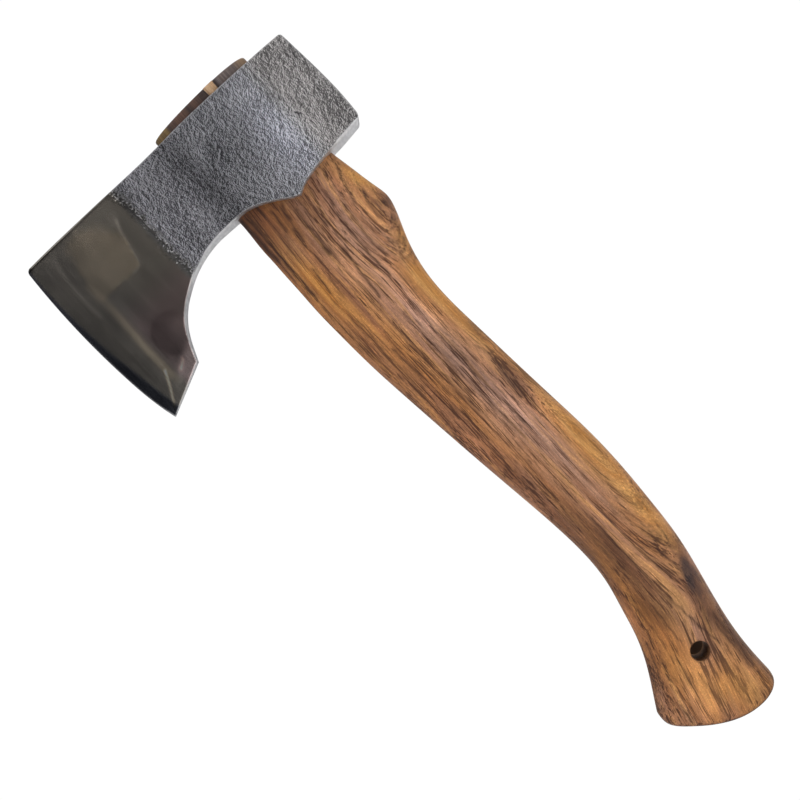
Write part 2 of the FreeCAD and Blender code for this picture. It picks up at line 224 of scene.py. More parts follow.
front_at, back_at, half_at = (natural_spline(SECTIONS[:, 0], SECTIONS[:, k]) for k in (1, 2, 3))
crown_line = dense(CROWN, 0.25)
butt_line = dense(BUTT, 0.35)
butt_start = butt_line[0] - butt_line[6]
butt_start = butt_start / np.linalg.norm(butt_start)
butt_line = np.concatenate([[butt_line[0] + butt_start * 14.0], butt_line, [(45.0, -8.0)]])


def crown_z(x):
    return np.interp(x, crown_line[:, 0], crown_line[:, 1])


def butt_distance(x, z):
    """Signed distance to the butt's curve in the side view, positive below it."""
    distance = np.full(len(x), -60.0)
    start, run = butt_line[:-1], butt_line[1:] - butt_line[:-1]
    square = (run ** 2).sum(1)
    for part in chunks(np.where(z < 12.0)[0], 4000):
        dx, dz = x[part][:, None] - start[:, 0], z[part][:, None] - start[:, 1]
        t = np.clip((dx * run[:, 0] + dz * run[:, 1]) / square, 0, 1)
        ex = x[part][:, None] - (start[:, 0] + t * run[:, 0])
        ez = z[part][:, None] - (start[:, 1] + t * run[:, 1])
        length = np.hypot(ex, ez)
        k = length.argmin(1)
        row = np.arange(len(part))
        side = run[k, 0] * ez[row, k] - run[k, 1] * ex[row, k]
        distance[part] = np.where(side < 0, length[row, k], -length[row, k])
    return distance


def smooth_max(a, b, radius):
    """The larger of two, blended where they are within radius of each other."""
    blend = np.maximum(radius - np.abs(a - b), 0)
    return np.maximum(a, b) + blend * blend / (4 * radius)


def handle_distance(points, lift=0.0):
    """About the distance outside the handle's surface; lift raises the crown."""
    x, y, z = points.T
    front, back, half = front_at(z), back_at(z), half_at(z)
    centre, depth = (front + back) / 2, (back - front) / 2
    across, thick = np.abs(x - centre) / depth + 1e-9, np.abs(y) / half + 1e-9
    oval = (across ** POWER + thick ** POWER) ** (1 / POWER)
    slope_x = (across / oval) ** (POWER - 1) / depth
    slope_y = (thick / oval) ** (POWER - 1) / half
    slope = np.hypot(slope_x, slope_y)
    side = smooth(0.25, 0.85, slope_y / slope)
    distance = smooth_max((oval - 1) / slope, butt_distance(x, z), 2.6 * side + 0.02)
    top = np.where(z > 320, z - crown_z(x) - lift, -60.0)
    return smooth_max(distance, top, 1.0)


def project(points, lift):
    """Moves points onto the handle's surface."""
    points = points.copy()
    tiny = 0.01
    for _ in range(7):
        distance = handle_distance(points, lift)
        slope = np.stack([(handle_distance(points + offset, lift)
                           - handle_distance(points - offset, lift)) / (2 * tiny)
                          for offset in np.eye(3) * tiny], 1)
        move = np.clip(distance / np.maximum((slope ** 2).sum(1), 0.2), -1.5, 1.5)
        points -= move[:, None] * slope
    return points


# ====================================================================== mesh tools
def make_object(name, verts, faces, material=None):
    """Smooth-shaded object from points in mm."""
    mesh = bpy.data.meshes.new(name)
    verts = (np.asarray(verts, float) * MM).tolist()
    mesh.from_pydata(verts, [], [list(map(int, face)) for face in faces])
    mesh.validate()
    mesh.update()
    ob = bpy.data.objects.new(name, mesh)
    scene.collection.objects.link(ob)
    if material:
        mesh.materials.append(material)
    for face in mesh.polygons:
        face.use_smooth = True
    return ob


def set_attribute(ob, name, values):
    attribute = ob.data.attributes.new(name, "FLOAT", "POINT")
    attribute.data.foreach_set("value", np.asarray(values, np.float32))


def boolean(ob, other, how):
    """Cuts ob with other, then removes other."""
    modifier = ob.modifiers.new("cut", "BOOLEAN")
    modifier.operation, modifier.solver, modifier.object = how, "EXACT", other
    graph = bpy.context.evaluated_depsgraph_get()
    mesh = bpy.data.meshes.new_from_object(ob.evaluated_get(graph))
    ob.modifiers.clear()
    old = ob.data
    ob.data = mesh
    bpy.data.meshes.remove(old)
    bpy.data.objects.remove(other)


def drop_loose(mesh):
    loose = [v for v in mesh.verts if not v.link_faces]
    bmesh.ops.delete(mesh, geom=loose, context="VERTS")


def finish_mesh(ob, angle, merge=0.00002, loose_first=False):
    """Merges points closer than merge (m), turns faces outward, marks edges sharper than angle."""
    mesh = bmesh.new()
    mesh.from_mesh(ob.data)
    if loose_first:
        drop_loose(mesh)
    bmesh.ops.remove_doubles(mesh, verts=mesh.verts, dist=merge)
    bmesh.ops.dissolve_degenerate(mesh, edges=mesh.edges, dist=merge)
    bmesh.ops.recalc_face_normals(mesh, faces=mesh.faces)
    if not loose_first:
        drop_loose(mesh)
    mesh.to_mesh(ob.data)
    mesh.free()
    for face in ob.data.polygons:
        face.use_smooth = True
    ob.data.set_sharp_from_angle(angle=math.radians(angle))


def prism(name, profile, plane, reach):
    """A closed prism: a profile in plane "yz" run along X, or in "xz" run along Y."""
    verts = [(w, a, b) if plane == "yz" else (a, w, b)
             for w in (-reach, reach) for a, b in profile]
    count = len(profile)
    faces = [tuple(range(count)), tuple(reversed(range(count, 2 * count)))]
    faces += [(i, count + i, count + (i + 1) % count, (i + 1) % count) for i in range(count)]
    ob = make_object(name, verts, faces)
    mesh = bmesh.new()
    mesh.from_mesh(ob.data)
    bmesh.ops.recalc_face_normals(mesh, faces=mesh.faces)
    mesh.to_mesh(ob.data)
    mesh.free()
    return ob


# ====================================================================== handle and wedges
def rounded(angle):
    """Unit points of the handle's cross-section."""
    c, s = np.cos(angle), np.sin(angle)
    return (np.sign(c) * np.abs(c) ** (2 / POWER), np.sign(s) * np.abs(s) ** (2 / POWER))


def ring_section(count):
    """Unit cross-section, evenly spaced round an oval twice as deep as it is thick."""
    fine = np.linspace(0, 2 * math.pi, 4001)
    across, thick = rounded(fine)
    run = np.concatenate([[0], np.cumsum(np.hypot(np.diff(2.0 * across), np.diff(thick)))])
    return rounded(np.interp(np.linspace(0, run[-1], count, endpoint=False), run, fine))


def crown_rings(across, thick, lift):
    """Rings over the crown, from its middle outwards, then a little down the sides."""
    front, back, half = front_at(331.0), back_at(331.0), half_at(331.0)
    rings = []
    for k in (0.03, 0.12, 0.22, 0.32, 0.42, 0.52, 0.61, 0.69, 0.76, 0.82, 0.87, 0.91, 0.94,
              0.965, 0.985):
        x = (front + back) / 2 + (back - front) / 2 * across * k
        rings.append(np.stack([x, half * thick * k, crown_z(x) + lift], 1))
    x = (front + back) / 2 + (back - front) / 2 * across
    for down in (0.3, 0.9, 1.7, 2.6):
        rings.append(np.stack([x, half * thick, crown_z(x) + lift - down], 1))
    return rings


def side_rings(across, thick, front_low, back_low, step):
    """Rings down the handle; they tilt if the front and back ends differ."""
    rings = []
    count = int((SHELL_TOP_Z - front_low) / step)
    for j in range(count + 1):
        t = j / count
        front_z = SHELL_TOP_Z + (front_low - SHELL_TOP_Z) * t
        back_z = SHELL_TOP_Z + (back_low - SHELL_TOP_Z) * t
        front = np.array([front_at(front_z), front_z])
        back = np.array([back_at(back_z), back_z])
        half = half_at((front_z + back_z) / 2)
        middle, depth = (front + back) / 2, (back - front) / 2
        rings.append(np.stack(
            [middle[0] + depth[0] * across, half * thick, middle[1] + depth[1] * across], 1))
    return rings


def butt_rings(across, thick, last):
    """Rings from the last side ring to the butt's curve, then inwards over it."""
    low = np.array([p for p in butt_line[1:-1] if p[1] < -13.6])
    low = low[np.argsort(low[:, 0])]
    front_x, back_x, middle_x = -32.55, 17.15, -7.0
    rim_x = front_x + (across + 1) / 2 * (back_x - front_x)
    half = half_at(-18.0)
    goal = np.stack([rim_x, half * thick, np.interp(rim_x, low[:, 0], low[:, 1]) + 0.3], 1)
    rings = [last * (1 - w) + goal * w for w in [*np.linspace(0, 1, 20)[1:-1], 0.975, 1.0]]
    for k in (0.985, 0.965, 0.945, 0.92, 0.89, 0.85, 0.80, 0.74, 0.67, 0.59, 0.50, 0.41, 0.31,
              0.21, 0.11, 0.03):
        x = middle_x + (rim_x - middle_x) * k
        rings.append(np.stack([x, half * thick * k, np.interp(x, low[:, 0], low[:, 1])], 1))
    return rings


def shell(around, step, low_end=None, lift=0.0):
    """Skin of the handle from the crown to the butt, or to a flat end at height low_end."""
    across, thick = ring_section(around)
    front_low, back_low = (-8.0, -21.0) if low_end is None else (low_end, low_end)
    rings = crown_rings(across, thick, lift)
    rings += side_rings(across, thick, front_low, back_low, step)
    if low_end is None:
        rings += butt_rings(across, thick, rings[-1])
    points = np.concatenate(rings)
    verts = project(points, lift)
    if low_end is not None:
        verts[-around:] = points[-around:]
    faces = []
    for j in range(len(rings) - 1):
        for i in range(around):
            k = (i + 1) % around
            low = (j + 1) * around
            faces.append((j * around + i, low + i, low + k, j * around + k))
    faces.append(tuple(range(around)))
    faces.append(tuple(reversed(range((len(rings) - 1) * around, len(rings) * around))))
    return verts, faces


def taper(centre, top, tip, tip_z, gap):
    """Profile of a wedge, grown by gap on each side."""
    slope = (top - tip) / 2 / (SAW_Z - tip_z)
    top_half = top / 2 + slope * CUT_OVER + gap
    return [(centre - top_half, SAW_Z + CUT_OVER), (centre - tip / 2 - gap, tip_z - gap),
            (centre + tip / 2 + gap, tip_z - gap), (centre + top_half, SAW_Z + CUT_OVER)]


def main_cutter(gap=0.0):
    return prism("cut_main", taper(0.0, *MAIN_WEDGE, gap), "yz", 60)


def cross_cutter(gap=0.0):
    return prism("cut_cross", taper(CROSS_X, *CROSS_WEDGE, gap), "xz", 40)


def hole_cutter():
    """Pin along Y through the hanging hole, flared at both ends."""
    count, end_y = 96, HOLE_EASE_START + HOLE_EASE_WIDTH
    wide = HOLE_RADIUS + HOLE_EASE_WIDTH
    profile = [(-end_y, wide), (-HOLE_EASE_START, HOLE_RADIUS),
               (HOLE_EASE_START, HOLE_RADIUS), (end_y, wide)]
    verts, faces = [], []
    for y, radius in profile:
        for k in range(count):
            angle = 2 * math.pi * k / count
            verts.append((radius * math.cos(angle), y, radius * math.sin(angle)))
    for start in range(0, (len(profile) - 1) * count, count):
        for k in range(count):
            m = (k + 1) % count
            faces.append((start + k, start + m, start + count + m, start + count + k))
    faces.append(tuple(reversed(range(count))))
    faces.append(tuple(range((len(profile) - 1) * count, len(profile) * count)))
    cutter = make_object("cut_hole", verts, faces)
    finish_mesh(cutter, angle=35.0)
    return cutter


def build_handle(material):
    ob = make_object("handle_wood", *shell(around=184, step=0.9), material)
    for cutter in (main_cutter, cross_cutter, hole_cutter):
        boolean(ob, cutter(), "DIFFERENCE")
    finish_mesh(ob, angle=32.0)
    return ob


def build_main_wedge(material):
    skin = shell(around=100, step=WEDGE_STEP, low_end=WEDGE_LOW_Z)
    ob = make_object("main_wedge_wood", *skin, material)
    boolean(ob, main_cutter(gap=-0.07), "INTERSECT")
    boolean(ob, cross_cutter(), "DIFFERENCE")
    finish_mesh(ob, angle=32.0)
    return ob


def build_cross_wedge(material):
    skin = shell(around=140, step=WEDGE_STEP, low_end=WEDGE_LOW_Z, lift=CROSS_PROUD)
    ob = make_object("cross_wedge_wood", *skin, material)
    boolean(ob, cross_cutter(gap=-0.06), "INTERSECT")
    finish_mesh(ob, angle=32.0)
    return ob


# ====================================================================== shape of the head
# the cutting edge is an arc in the side view
BIT_X, BIT_Z, BIT_RADIUS = 283.5, 296.5, 390.0
EDGE_X = BIT_X - BIT_RADIUS
# x, half thickness of the head seen from above
PLAN_FRONT_X, PLAN_BACK_X, PLAN_MOST = -122.0, 52.2, 15.25
PLAN = np.array([
    (PLAN_FRONT_X, 2.3), (-98, 4.1), (-75.6, 6.0), (-60, 7.0), (-48.6, 8.1), (-38, 9.35),
    (-30.6, 10.9), (-26, 12.2), (-20.5, 14.0), (-16, 14.9), (-12, 15.2), (-4, 15.25), (10, 15.25),
    (24, 15.25), (34, 15.2), (42, 14.9), (48.6, 14.05), (51, 12.9), (PLAN_BACK_X, 11.4)])
# distance behind the cutting edge, half thickness of the ground blade
GRIND = np.array([
    (0, 0), (0.55, 0.2), (2, 0.5), (8, 1.65), (17.5, 3.1), (24, 4.1), (32, 5.2), (46, 6.7),
    (56, 7.7), (66, 9.0), (80, 11.6), (100, 16.6)])
# x, width of the bevel along the underside
BEVEL = np.array([
    (-77, 0.1), (-75, 0.25), (-72, 0.42), (-68.4, 0.6), (-63, 0.42), (-57.6, 0.12), (-52, 0),
    (-46, 0.1), (-41, 0.5), (-36, 0.55), (-28, 0.6), (-22, 0.6), (-18.5, 0.12), (-15, 0),
    (30.5, 0), (34, 0.5), (37, 0.95), (50, 0.95), (52, 0.7)])
# z, how far the cutting edge turns in from the arc towards the heel
HEEL_IN = np.array([
    (232, 1.5), (235.5, 1.1), (237.5, 0.9), (240.9, 0.55), (246.3, 0.25), (252.5, 0.05), (256, 0)])
plan_spline = natural_spline(PLAN[:, 0], PLAN[:, 1])


def heel_in(z):
    return np.interp(z, HEEL_IN[:, 0], HEEL_IN[:, 1])


def on_bit(z):
    """x of the cutting edge at height z."""
    return BIT_X - np.sqrt(BIT_RADIUS ** 2 - (z - BIT_Z) ** 2) + heel_in(z)


def from_edge(x, z):
    """Distance behind the cutting edge."""
    return BIT_X - np.hypot(x - BIT_X, z - BIT_Z) - EDGE_X - heel_in(z)


# x, z of the head's outline in the side view, clockwise seen from -Y, from the toe to the heel
TOE_Z, HEEL_Z = 327.5, 235.6
TOP = [
    (-103.4, 329.4), (-90, 329.4), (-80, 329.25), (-70, 329.08), (-58, 328.9), (-30, 328.35),
    (10, 328.5), (49.2, 327.8)]
TOE = [(on_bit(TOE_Z), TOE_Z), (-104.6, 328.75), TOP[0]]
POLL = [(50.45, 326.2), (51.2, 316), (52.15, 300), (52.2, 289), (51.7, 280.5)]
UNDER = [
    (49.6, 276.15), (42, 275.3), (36, 274.8), (31, 274.65), (24, 273.8), (16, 272.2),
    (12.2, 271), (8.6, 269.1)]
LUG = [
    UNDER[-1], (5, 270.5), (0.6, 273.4), (-3.9, 276.1), (-8.3, 278.3), (-12.7, 280),
    (-17, 280.9), (-20.5, 281), (-25, 281), (-30.5, 281), (-39.5, 279.85), (-48.4, 277.2),
    (-57.55, 272.3), (-62.6, 268.7), (-67.05, 264.3), (-71.45, 257.85), (-74.6, 251.15),
    (-76.45, 246.9)]
HEEL = [LUG[-1], (on_bit(HEEL_Z), HEEL_Z)]


def half_head(x, z):
    """Half thickness: the thinner of plan and grind, blended where they meet."""
    plan = np.minimum(plan_spline(np.clip(x, PLAN_FRONT_X, PLAN_BACK_X)), PLAN_MOST)
    behind = np.maximum(from_edge(x, z), 0.0)
    # averaging shifted samples leaves a faint ridge between the bevels
    grind = np.zeros_like(behind)
    for offset in (-0.8, -0.4, 0.0, 0.4, 0.8):
        moved = np.abs(behind + offset * np.clip(behind / 6.0, 0.0, 3.0))
        grind += np.interp(moved, GRIND[:, 0], GRIND[:, 1])
    grind = grind / 5
    radius = 0.9
    blend = np.maximum(radius - np.abs(plan - grind), 0)
    return np.minimum(plan, grind) - blend * blend / (4 * radius) * smooth(0.8, 3.0, grind)


def outline(step):
    """Outline of the head in the side view, and the run each point belongs to."""
    fine = step * 0.6
    bit_z = np.linspace(HEEL_Z, TOE_Z, int(91.0 / step))
    runs = [
        ("toe", dense(TOE, fine)), ("top", dense(TOP, step)),
        ("poll_corner", dense([TOP[-1], (50.05, 327.25), POLL[0]], fine)),
        ("poll", dense(POLL, step)),
        ("poll_foot", dense([POLL[-1], (51.05, 277.7), UNDER[0]], fine)),
        ("under", dense(UNDER, step)), ("lug", dense(LUG, step)), ("heel", dense(HEEL, step)),
        ("bit", np.stack([on_bit(bit_z), bit_z], 1))]
    names = [name for name, points in runs for _ in points[:-1]]
    return np.concatenate([points[:-1] for _, points in runs]), np.array(names)


def inside(points, polygon):
    """True for points inside the polygon."""
    x, z = points[:, 0], points[:, 1]
    result = np.zeros(len(points), bool)
    for (x1, z1), (x2, z2) in zip(polygon, np.roll(polygon, -1, 0)):
        if z1 != z2:
            crossed = (z1 > z) != (z2 > z)
            result ^= crossed & (x < (x2 - x1) * (z - z1) / (z2 - z1) + x1)
    return result


def nearest(points, others):
    """Distance from each point to the nearest of others."""
    distance = np.empty(len(points))
    for part in chunks(np.arange(len(points)), 3000):
        square = (points[part][:, None, :] - others[None, :, :]) ** 2
        distance[part] = np.sqrt(square.sum(2).min(1))
    return distance


def triangulate(points, loop, holes=()):
    """Triangles inside the loop and outside the holes, all given as index lists."""
    edges = []
    for ids in (loop, *holes):
        edges += [(ids[k], ids[(k + 1) % len(ids)]) for k in range(len(ids))]
    flat = [Vector((float(a), float(b))) for a, b in points]
    result = delaunay_2d_cdt(flat, edges, [], 0, 1e-7)
    source = np.array([ids[0] if ids else -1 for ids in result[3]])
    tri = source[np.array([face for face in result[2] if len(face) == 3])]
    tri = tri[(tri >= 0).all(1)]
    centre = (points[tri[:, 0]] + points[tri[:, 1]] + points[tri[:, 2]]) / 3
    keep = inside(centre, points[loop])
    for hole in holes:
        keep &= ~inside(centre, points[hole])
    return tri[keep]


# ====================================================================== surface of the head
def forge_mask(x, z):
    """1 on the hammered skin, 0 on the ground blade, with deeper pits left near the border."""
    ragged = fractal(x / 2.6, z / 4.0, 0.0, 3, 0.6, seed=5)
    pits = fractal(x / 1.3, z / 1.7, 4.0, 3, 0.6, seed=6)
    high = smooth(314.0, 326.0, z)
    low = smooth(290.0, 276.0, z)
    border = -49.7 - 1.2 * high + 0.8 * low
    width = 2.8 + 5.0 * high + 1.4 * low
    body = smooth(-1.0, 1.0, (x - border + ragged * 2.6) / width)
    near = smooth(border - 7.0, border - 0.5, x) * (1 - smooth(300.0, 326.0, z) * 0.5)
    left = smooth(0.0, 0.36, pits) * near * (0.42 + 0.34 * near)
    return np.clip(np.maximum(body, left), 0, 1)


# creases on the cheeks: points (x, z), width, height of the raised lip
CREASES = [
    ([(-3.9, 311.8), (-4.6, 310.2), (-5.6, 309.2)], 0.5, 0.20),
    ([(-4.6, 308.2), (-5.6, 306.6), (-6.9, 305.6), (-8.4, 303.6)], 0.5, 0.22),
    ([(4.6, 317.6), (5.2, 316.0), (4.6, 314.4), (3.6, 313.6)], 0.5, 0.18),
    ([(-2.4, 294.6), (-1.3, 293.0), (-0.9, 291.2)], 0.5, 0.12),
    ([(2.6, 300.5), (3.4, 298.0), (3.0, 295.6)], 0.5, 0.10),
    ([(7.6, 306.5), (8.2, 304.2), (7.8, 302.0)], 0.5, 0.08),
    ([(14.0, 307.5), (14.6, 303.6), (14.1, 300.0)], 0.5, 0.06),
    ([(-13.5, 288.5), (-12.2, 286.0), (-11.4, 283.0)], 0.5, 0.14),
    ([(-8.6, 286.4), (-7.2, 284.0), (-6.4, 281.2)], 0.5, 0.12),
    ([(-17.6, 308.0), (-14.6, 311.2), (-12.2, 313.6)], 0.6, 0.09),
    ([(-45.8, 305.0), (-46.3, 296.0), (-47.0, 286.0), (-46.7, 281.0)], 0.5, 0.08),
    ([(-38.0, 300.0), (-37.4, 296.0), (-38.0, 292.0)], 0.5, 0.06),
    ([(31.2, 297.4), (32.0, 296.2), (33.0, 295.4)], 0.55, -0.20)]


def creases(x, z):
    """Creases left by the hammer: raised lips beside shallow folds."""
    total = np.zeros(len(x))
    for points, width, height in CREASES:
        line = dense(points, 0.4)
        line[:, 0] += np.sin(np.arange(len(line)) * 0.9) * 0.25
        close_x, close_z = (np.abs(v - line[:, k].mean()) for k, v in enumerate((x, z)))
        near = np.where((close_x < 14) & (close_z < 18))[0]
        offset = np.stack([x[near], z[near]], 1)[:, None, :] - line[None]
        square = (offset ** 2).sum(2)
        k = square.argmin(1)
        d = np.sqrt(square.min(1))
        behind = offset[np.arange(len(near)), k, 0] > 0
        fade = np.sin(math.pi * np.clip((k + 2) / (len(line) + 3), 0, 1)) ** 0.5
        lip = np.exp(-(d / width) ** 2) * height
        fold = -np.exp(-((d - width * 1.3) / (width * 0.8)) ** 2) * height * 0.8 * behind
        total[near] += (lip + fold) * fade
    return total


def forged_relief(x, z, seed):
    """Fine and broad height of the hammered skin over the smooth cheek."""
    layer = seed * 10.0
    warp = fractal(x / 7.0, z / 7.0, layer / 7.0, 2, 0.5, 11 + seed)
    warp_x, warp_z = x + warp * 1.2, z + warp * 1.6
    pebble_at = columns(warp_x * (1 / 2.3), warp_z * (1 / 3.0), layer)

    def noise_of(u, v, size_u, size_v, gain, base_seed):
        return fractal(u * (1 / size_u), v * (1 / size_v), layer, 2, gain, base_seed + seed)

    grain = noise_of(warp_x, warp_z, 1.15, 1.75, 0.62, 21)
    pebble = gradient_noise(pebble_at, 31 + seed)
    patch = noise_of(x, z, 6.0, 8.0, 0.5, 41)
    wave = noise_of(x, z, 19.0, 24.0, 0.5, 51)
    dent = noise_of(x, z, 11.0, 13.0, 0.5, 61)
    calm = 1.0 - 0.42 * smooth(20.0, 40.0, x)
    ridge = 1 - np.abs(pebble) * 2.0
    fine = (0.19 * grain + 0.04 * (ridge - 0.3) * (0.6 + 0.8 * patch)) * calm
    broad = 0.05 * patch * calm + 0.12 * dent * calm + 0.24 * wave
    return fine, broad


def level(grey):
    """Linear brightness of a 0-255 grey, against that of 75."""
    return (((np.asarray(grey, float) / 255.0 + 0.055) / 1.055) ** 2.4) / 0.0704


# painted reflection and shade on the hammered skin, as rows for spots()
SKIN_HOLLOW_SHADE = [(-19, 300, 9.5, ANY, 1, -0.10)]
SKIN_UPPER_HOLLOW_SHADE = [(-4, 312, 12, 16, 0.75)]
SKIN_REFLECTION_PATCHES = [
    (-8.5, 307, 5, 7, -0.22, 0.35), (-27, 303, 5, 16, 0.18), (21, 291, 8.5, 20, 0.55),
    (17, 279, 9, 9, 0.20)]
SKIN_COOL_REFLECTION = [(19, 292, 9, 22, 0.22)]
# painted reflections on the polished blade, as lines: grey levels added, width, ease of the ends, points
# (x, z)
BLADE_REFLECTION_LINES = [
    (15, 0.95, 3, [(-58.4, 320), (-60.4, 315.6), (-62.2, 309.4), (-63.2, 303.8), (-64.2, 299.3),
                   (-66.2, 296.2), (-71.0, 295.3)]),
    (7, 2.2, 3, [(-56.5, 321.5), (-60, 319.5), (-62.6, 315)]),
    (9, 0.9, 2, [(-58.6, 318.6), (-60.4, 315.6), (-62, 311.4)]),
    (7, 0.8, 1.2, [(-96.7, 326), (-99.3, 316), (-100.2, 302.7), (-99.8, 292)]),
    (8, 0.9, 1.2, [(-92.2, 325), (-94.2, 314), (-94.9, 302.7), (-94.4, 290)]),
    (-5, 0.8, 1.2, [(-90, 325.5), (-92, 314), (-92.8, 302), (-92, 280)])]
POOL_REFLECTION_LINES = [
    (-12, 0.75, 3, [(-84.4, 255), (-84.9, 261), (-84.4, 267), (-82.8, 271)]),
    (-5, 0.8, 3, [(-82.6, 272.6), (-79, 274.2), (-72, 274.6)]),
    (12, 1.6, 4, [(-92, 243.6), (-88, 246.2), (-84, 249.2), (-80.6, 252.4)])]
HAIR_HIGHLIGHT = [(-89.3, 255.0), (-91.4, 250.5), (-94.6, 244.6), (-98.2, 238.6)]
PINK_HIGHLIGHT = [(-85.4, 249.0), (-82.6, 250.6), (-80.6, 252.0), (-79.4, 254.0)]
# z, x of the back edge of the painted brown reflection
CLOUD_REFLECTION_BACK = np.array([
    (294, -68), (295.5, -66), (299, -64.4), (304, -63.4), (309, -62.4), (313, -62.4),
    (317, -65.4), (320, -68), (326, -73)])
# z, strength of the painted olive reflection streak
STREAK_REFLECTION = np.array([
    (245, 0), (250, 22), (256, 33), (264, 36), (280, 27), (292, 17), (300, 8), (308, 0)])
# z, width of the painted dark reflection strip behind the cutting edge
STRIP_REFLECTION = np.array([
    (236, 4.6), (250, 4.7), (262, 4.3), (275, 3.2), (290, 2.2), (305, 1.3), (320, 0.5)])


def skin_reflection_and_shade(x, z, wide, small):
    """Painted reflection and shade on the hammered skin, as brightness and tint: a dark hollow ahead of the
    eye, paler behind.
    """
    hollow = np.maximum(spots(x, z, SKIN_HOLLOW_SHADE), spots(x, z, SKIN_UPPER_HOLLOW_SHADE))
    tone = (1.0 - 0.42 * hollow + spots(x, z, SKIN_REFLECTION_PATCHES) + 0.22 * smooth(12.0, 26.0, x)
            + 0.10 * smooth(-40.0, -50.0, x) * smooth(322.0, 306.0, z)
            - 0.34 * smooth(-44.0, -52.0, x) * smooth(304.0, 322.0, z)
            + 0.24 * wide + 0.10 * small)
    tint = -0.17 + 0.69 * smooth(24.0, 34.0, x) - spots(x, z, SKIN_COOL_REFLECTION)
    return tone, tint


def blade_reflections(x, z, wide, small):
    """Painted reflections on the polished blade: brightness, tint and mauve cast, built up in 0-255 greys.
    """
    grey = 73.5 - 8.0 * smooth(-93.5, -97.5, x) + 9.0 * smooth(-60.0, -53.0, x)
    # painted reflection: a brown cloud with a crisp back edge
    front_x = -84.6 - 0.19 * (326.0 - z)
    back_x = np.interp(z, CLOUD_REFLECTION_BACK[:, 0], CLOUD_REFLECTION_BACK[:, 1])
    ragged = 2.2 * small + 1.2 * fractal(x / 2.2, z / 2.2, 6.0, 2, 0.5, seed=206)
    fuzz = 1.3 + 5.5 * smooth(308.0, 322.0, z)
    cloud = (smooth(-3.2, 3.6, x - front_x + 1.3 * ragged)
             * smooth(fuzz, -fuzz, x - back_x + 0.8 * ragged)
             * smooth(294.4, 297.0, z + 0.7 * ragged) * smooth(329.0, 322.5, z + ragged))
    cloud *= 0.86 + 0.30 * fractal(x / 7.0, z / 6.0, 3.0, 3, 0.5, seed=207)
    cloud = np.clip(cloud, 0, 1)
    grey = grey + 17.5 * cloud + lines(x, z, BLADE_REFLECTION_LINES)
    grey += 6.0 * smooth(-72.0, -66.0, x) * smooth(-56.0, -62.0, x) * smooth(312.0, 318.0, z)
    pale = spots(x, z, [(-85.5, 0, 3, ANY, 10)])
    grey += pale * smooth(300.0, 292.0, z) * smooth(268.0, 280.0, z)
    # painted reflection: an olive streak, turning into a thin painted highlight line at the heel
    streak_x = -88.7 - 0.35 * np.sin((z - 250.0) / 9.0)
    amount = np.interp(z, STREAK_REFLECTION[:, 0], STREAK_REFLECTION[:, 1])
    streak = amount * np.exp(-(np.abs((x - streak_x) / 1.9) ** 2.6))
    hair = along(x, z, HAIR_HIGHLIGHT, 0.62)
    grey += streak * 0.92 + 62.0 * hair
    grey += 5.0 * smooth(-86.0, -90.0, x) * smooth(262.0, 250.0, z)
    # painted reflection: a dark mauve pool in the beard
    pool = smooth(1.10, 0.92, np.abs((x + 75.6) / 8.7) ** 2.6
                  + np.abs((z - 264.0) / 9.6) ** 2.6 + 0.12 * small)
    pool_grey = 61.5 + 22.0 * smooth(-80.5, -70.0, x) * smooth(275.0, 262.0, z)
    grey = grey * (1 - pool) + pool_grey * pool
    low = smooth(255.0, 250.0, z - 0.42 * (x + 82.0)) * smooth(-90.0, -83.0, x)
    pink = along(x, z, PINK_HIGHLIGHT, 0.75, 2.0)
    grey = grey + lines(x, z, POOL_REFLECTION_LINES) + 27.0 * low + 32.0 * pink
    grey -= 3.0 * smooth(294.0, 286.0, z) * smooth(-84.0, -80.0, x) * (1 - low)
    drag = fractal(x / 9.0, z / 0.9, 2.0, 2, 0.5, seed=205)
    grey += 4.0 * wide + 2.2 * small + 2.0 * drag * cloud
    # painted reflection: a dark strip behind the edge, wider towards the heel
    width = np.interp(z, STRIP_REFLECTION[:, 0], STRIP_REFLECTION[:, 1])
    strip = smooth(width + 1.5, width - 0.7, from_edge(x, z))
    grey = grey * (1 - strip) + (33.0 + 16.0 * smooth(262.0, 310.0, z)) * strip
    grey += 5.0 * smooth(318.0, 325.0, z) * smooth(-86.0, -72.0, x)
    # painted shade along the top edge and at the toe's corner
    grey = grey * (1 - 0.55 * smooth(327.4, 328.4, z))
    grey -= 20.0 * smooth(3.0, 0.0, np.hypot(x + 104.5, z - 328.5))
    tint = 0.30 + 0.7 * cloud - 1.1 * strip + 0.022 * streak + 1.0 * hair + 0.5 * pink
    mauve = smooth(292.0, 272.0, z) * smooth(-88.5, -84.0, x) * 0.85 + 0.5 * pool + 0.9 * pink
    return level(np.clip(grey, 14.0, 200.0)), tint, np.clip(mauve, 0, 1.2)


def head_painted_light(x, z):
    """Painted reflection and shade on the steel: brightness (about 1), tint (below 0 blue, above 0 brown)
    and mauve cast.
    """
    wide = fractal(x / 15.0, z / 22.0, 0.0, 3, 0.55, seed=201)
    small = fractal(x / 5.0, z / 9.0, 1.0, 3, 0.55, seed=202)
    skin = smooth(-54.5, -52.0, x)
    skin_tone, skin_tint = skin_reflection_and_shade(x, z, wide, small)
    tone, tint, cast = blade_reflections(x, z, wide, small)
    return (tone * (1 - skin) + skin_tone * skin, tint * (1 - skin) + skin_tint * skin,
            cast * (1 - skin))


# ====================================================================== mesh of the head
OUTLINE_STEP = 0.5
# point spacing, lowest x, highest x of the two grids on the cheeks
CHEEK_GRIDS = [(0.66, -108.0, -57.6), (0.52, -57.1, 54.0)]
BAND_STEP = 0.85
EYE_POINTS, EYE_LEVELS, EYE_CLEARANCE = 120, 9, 0.14


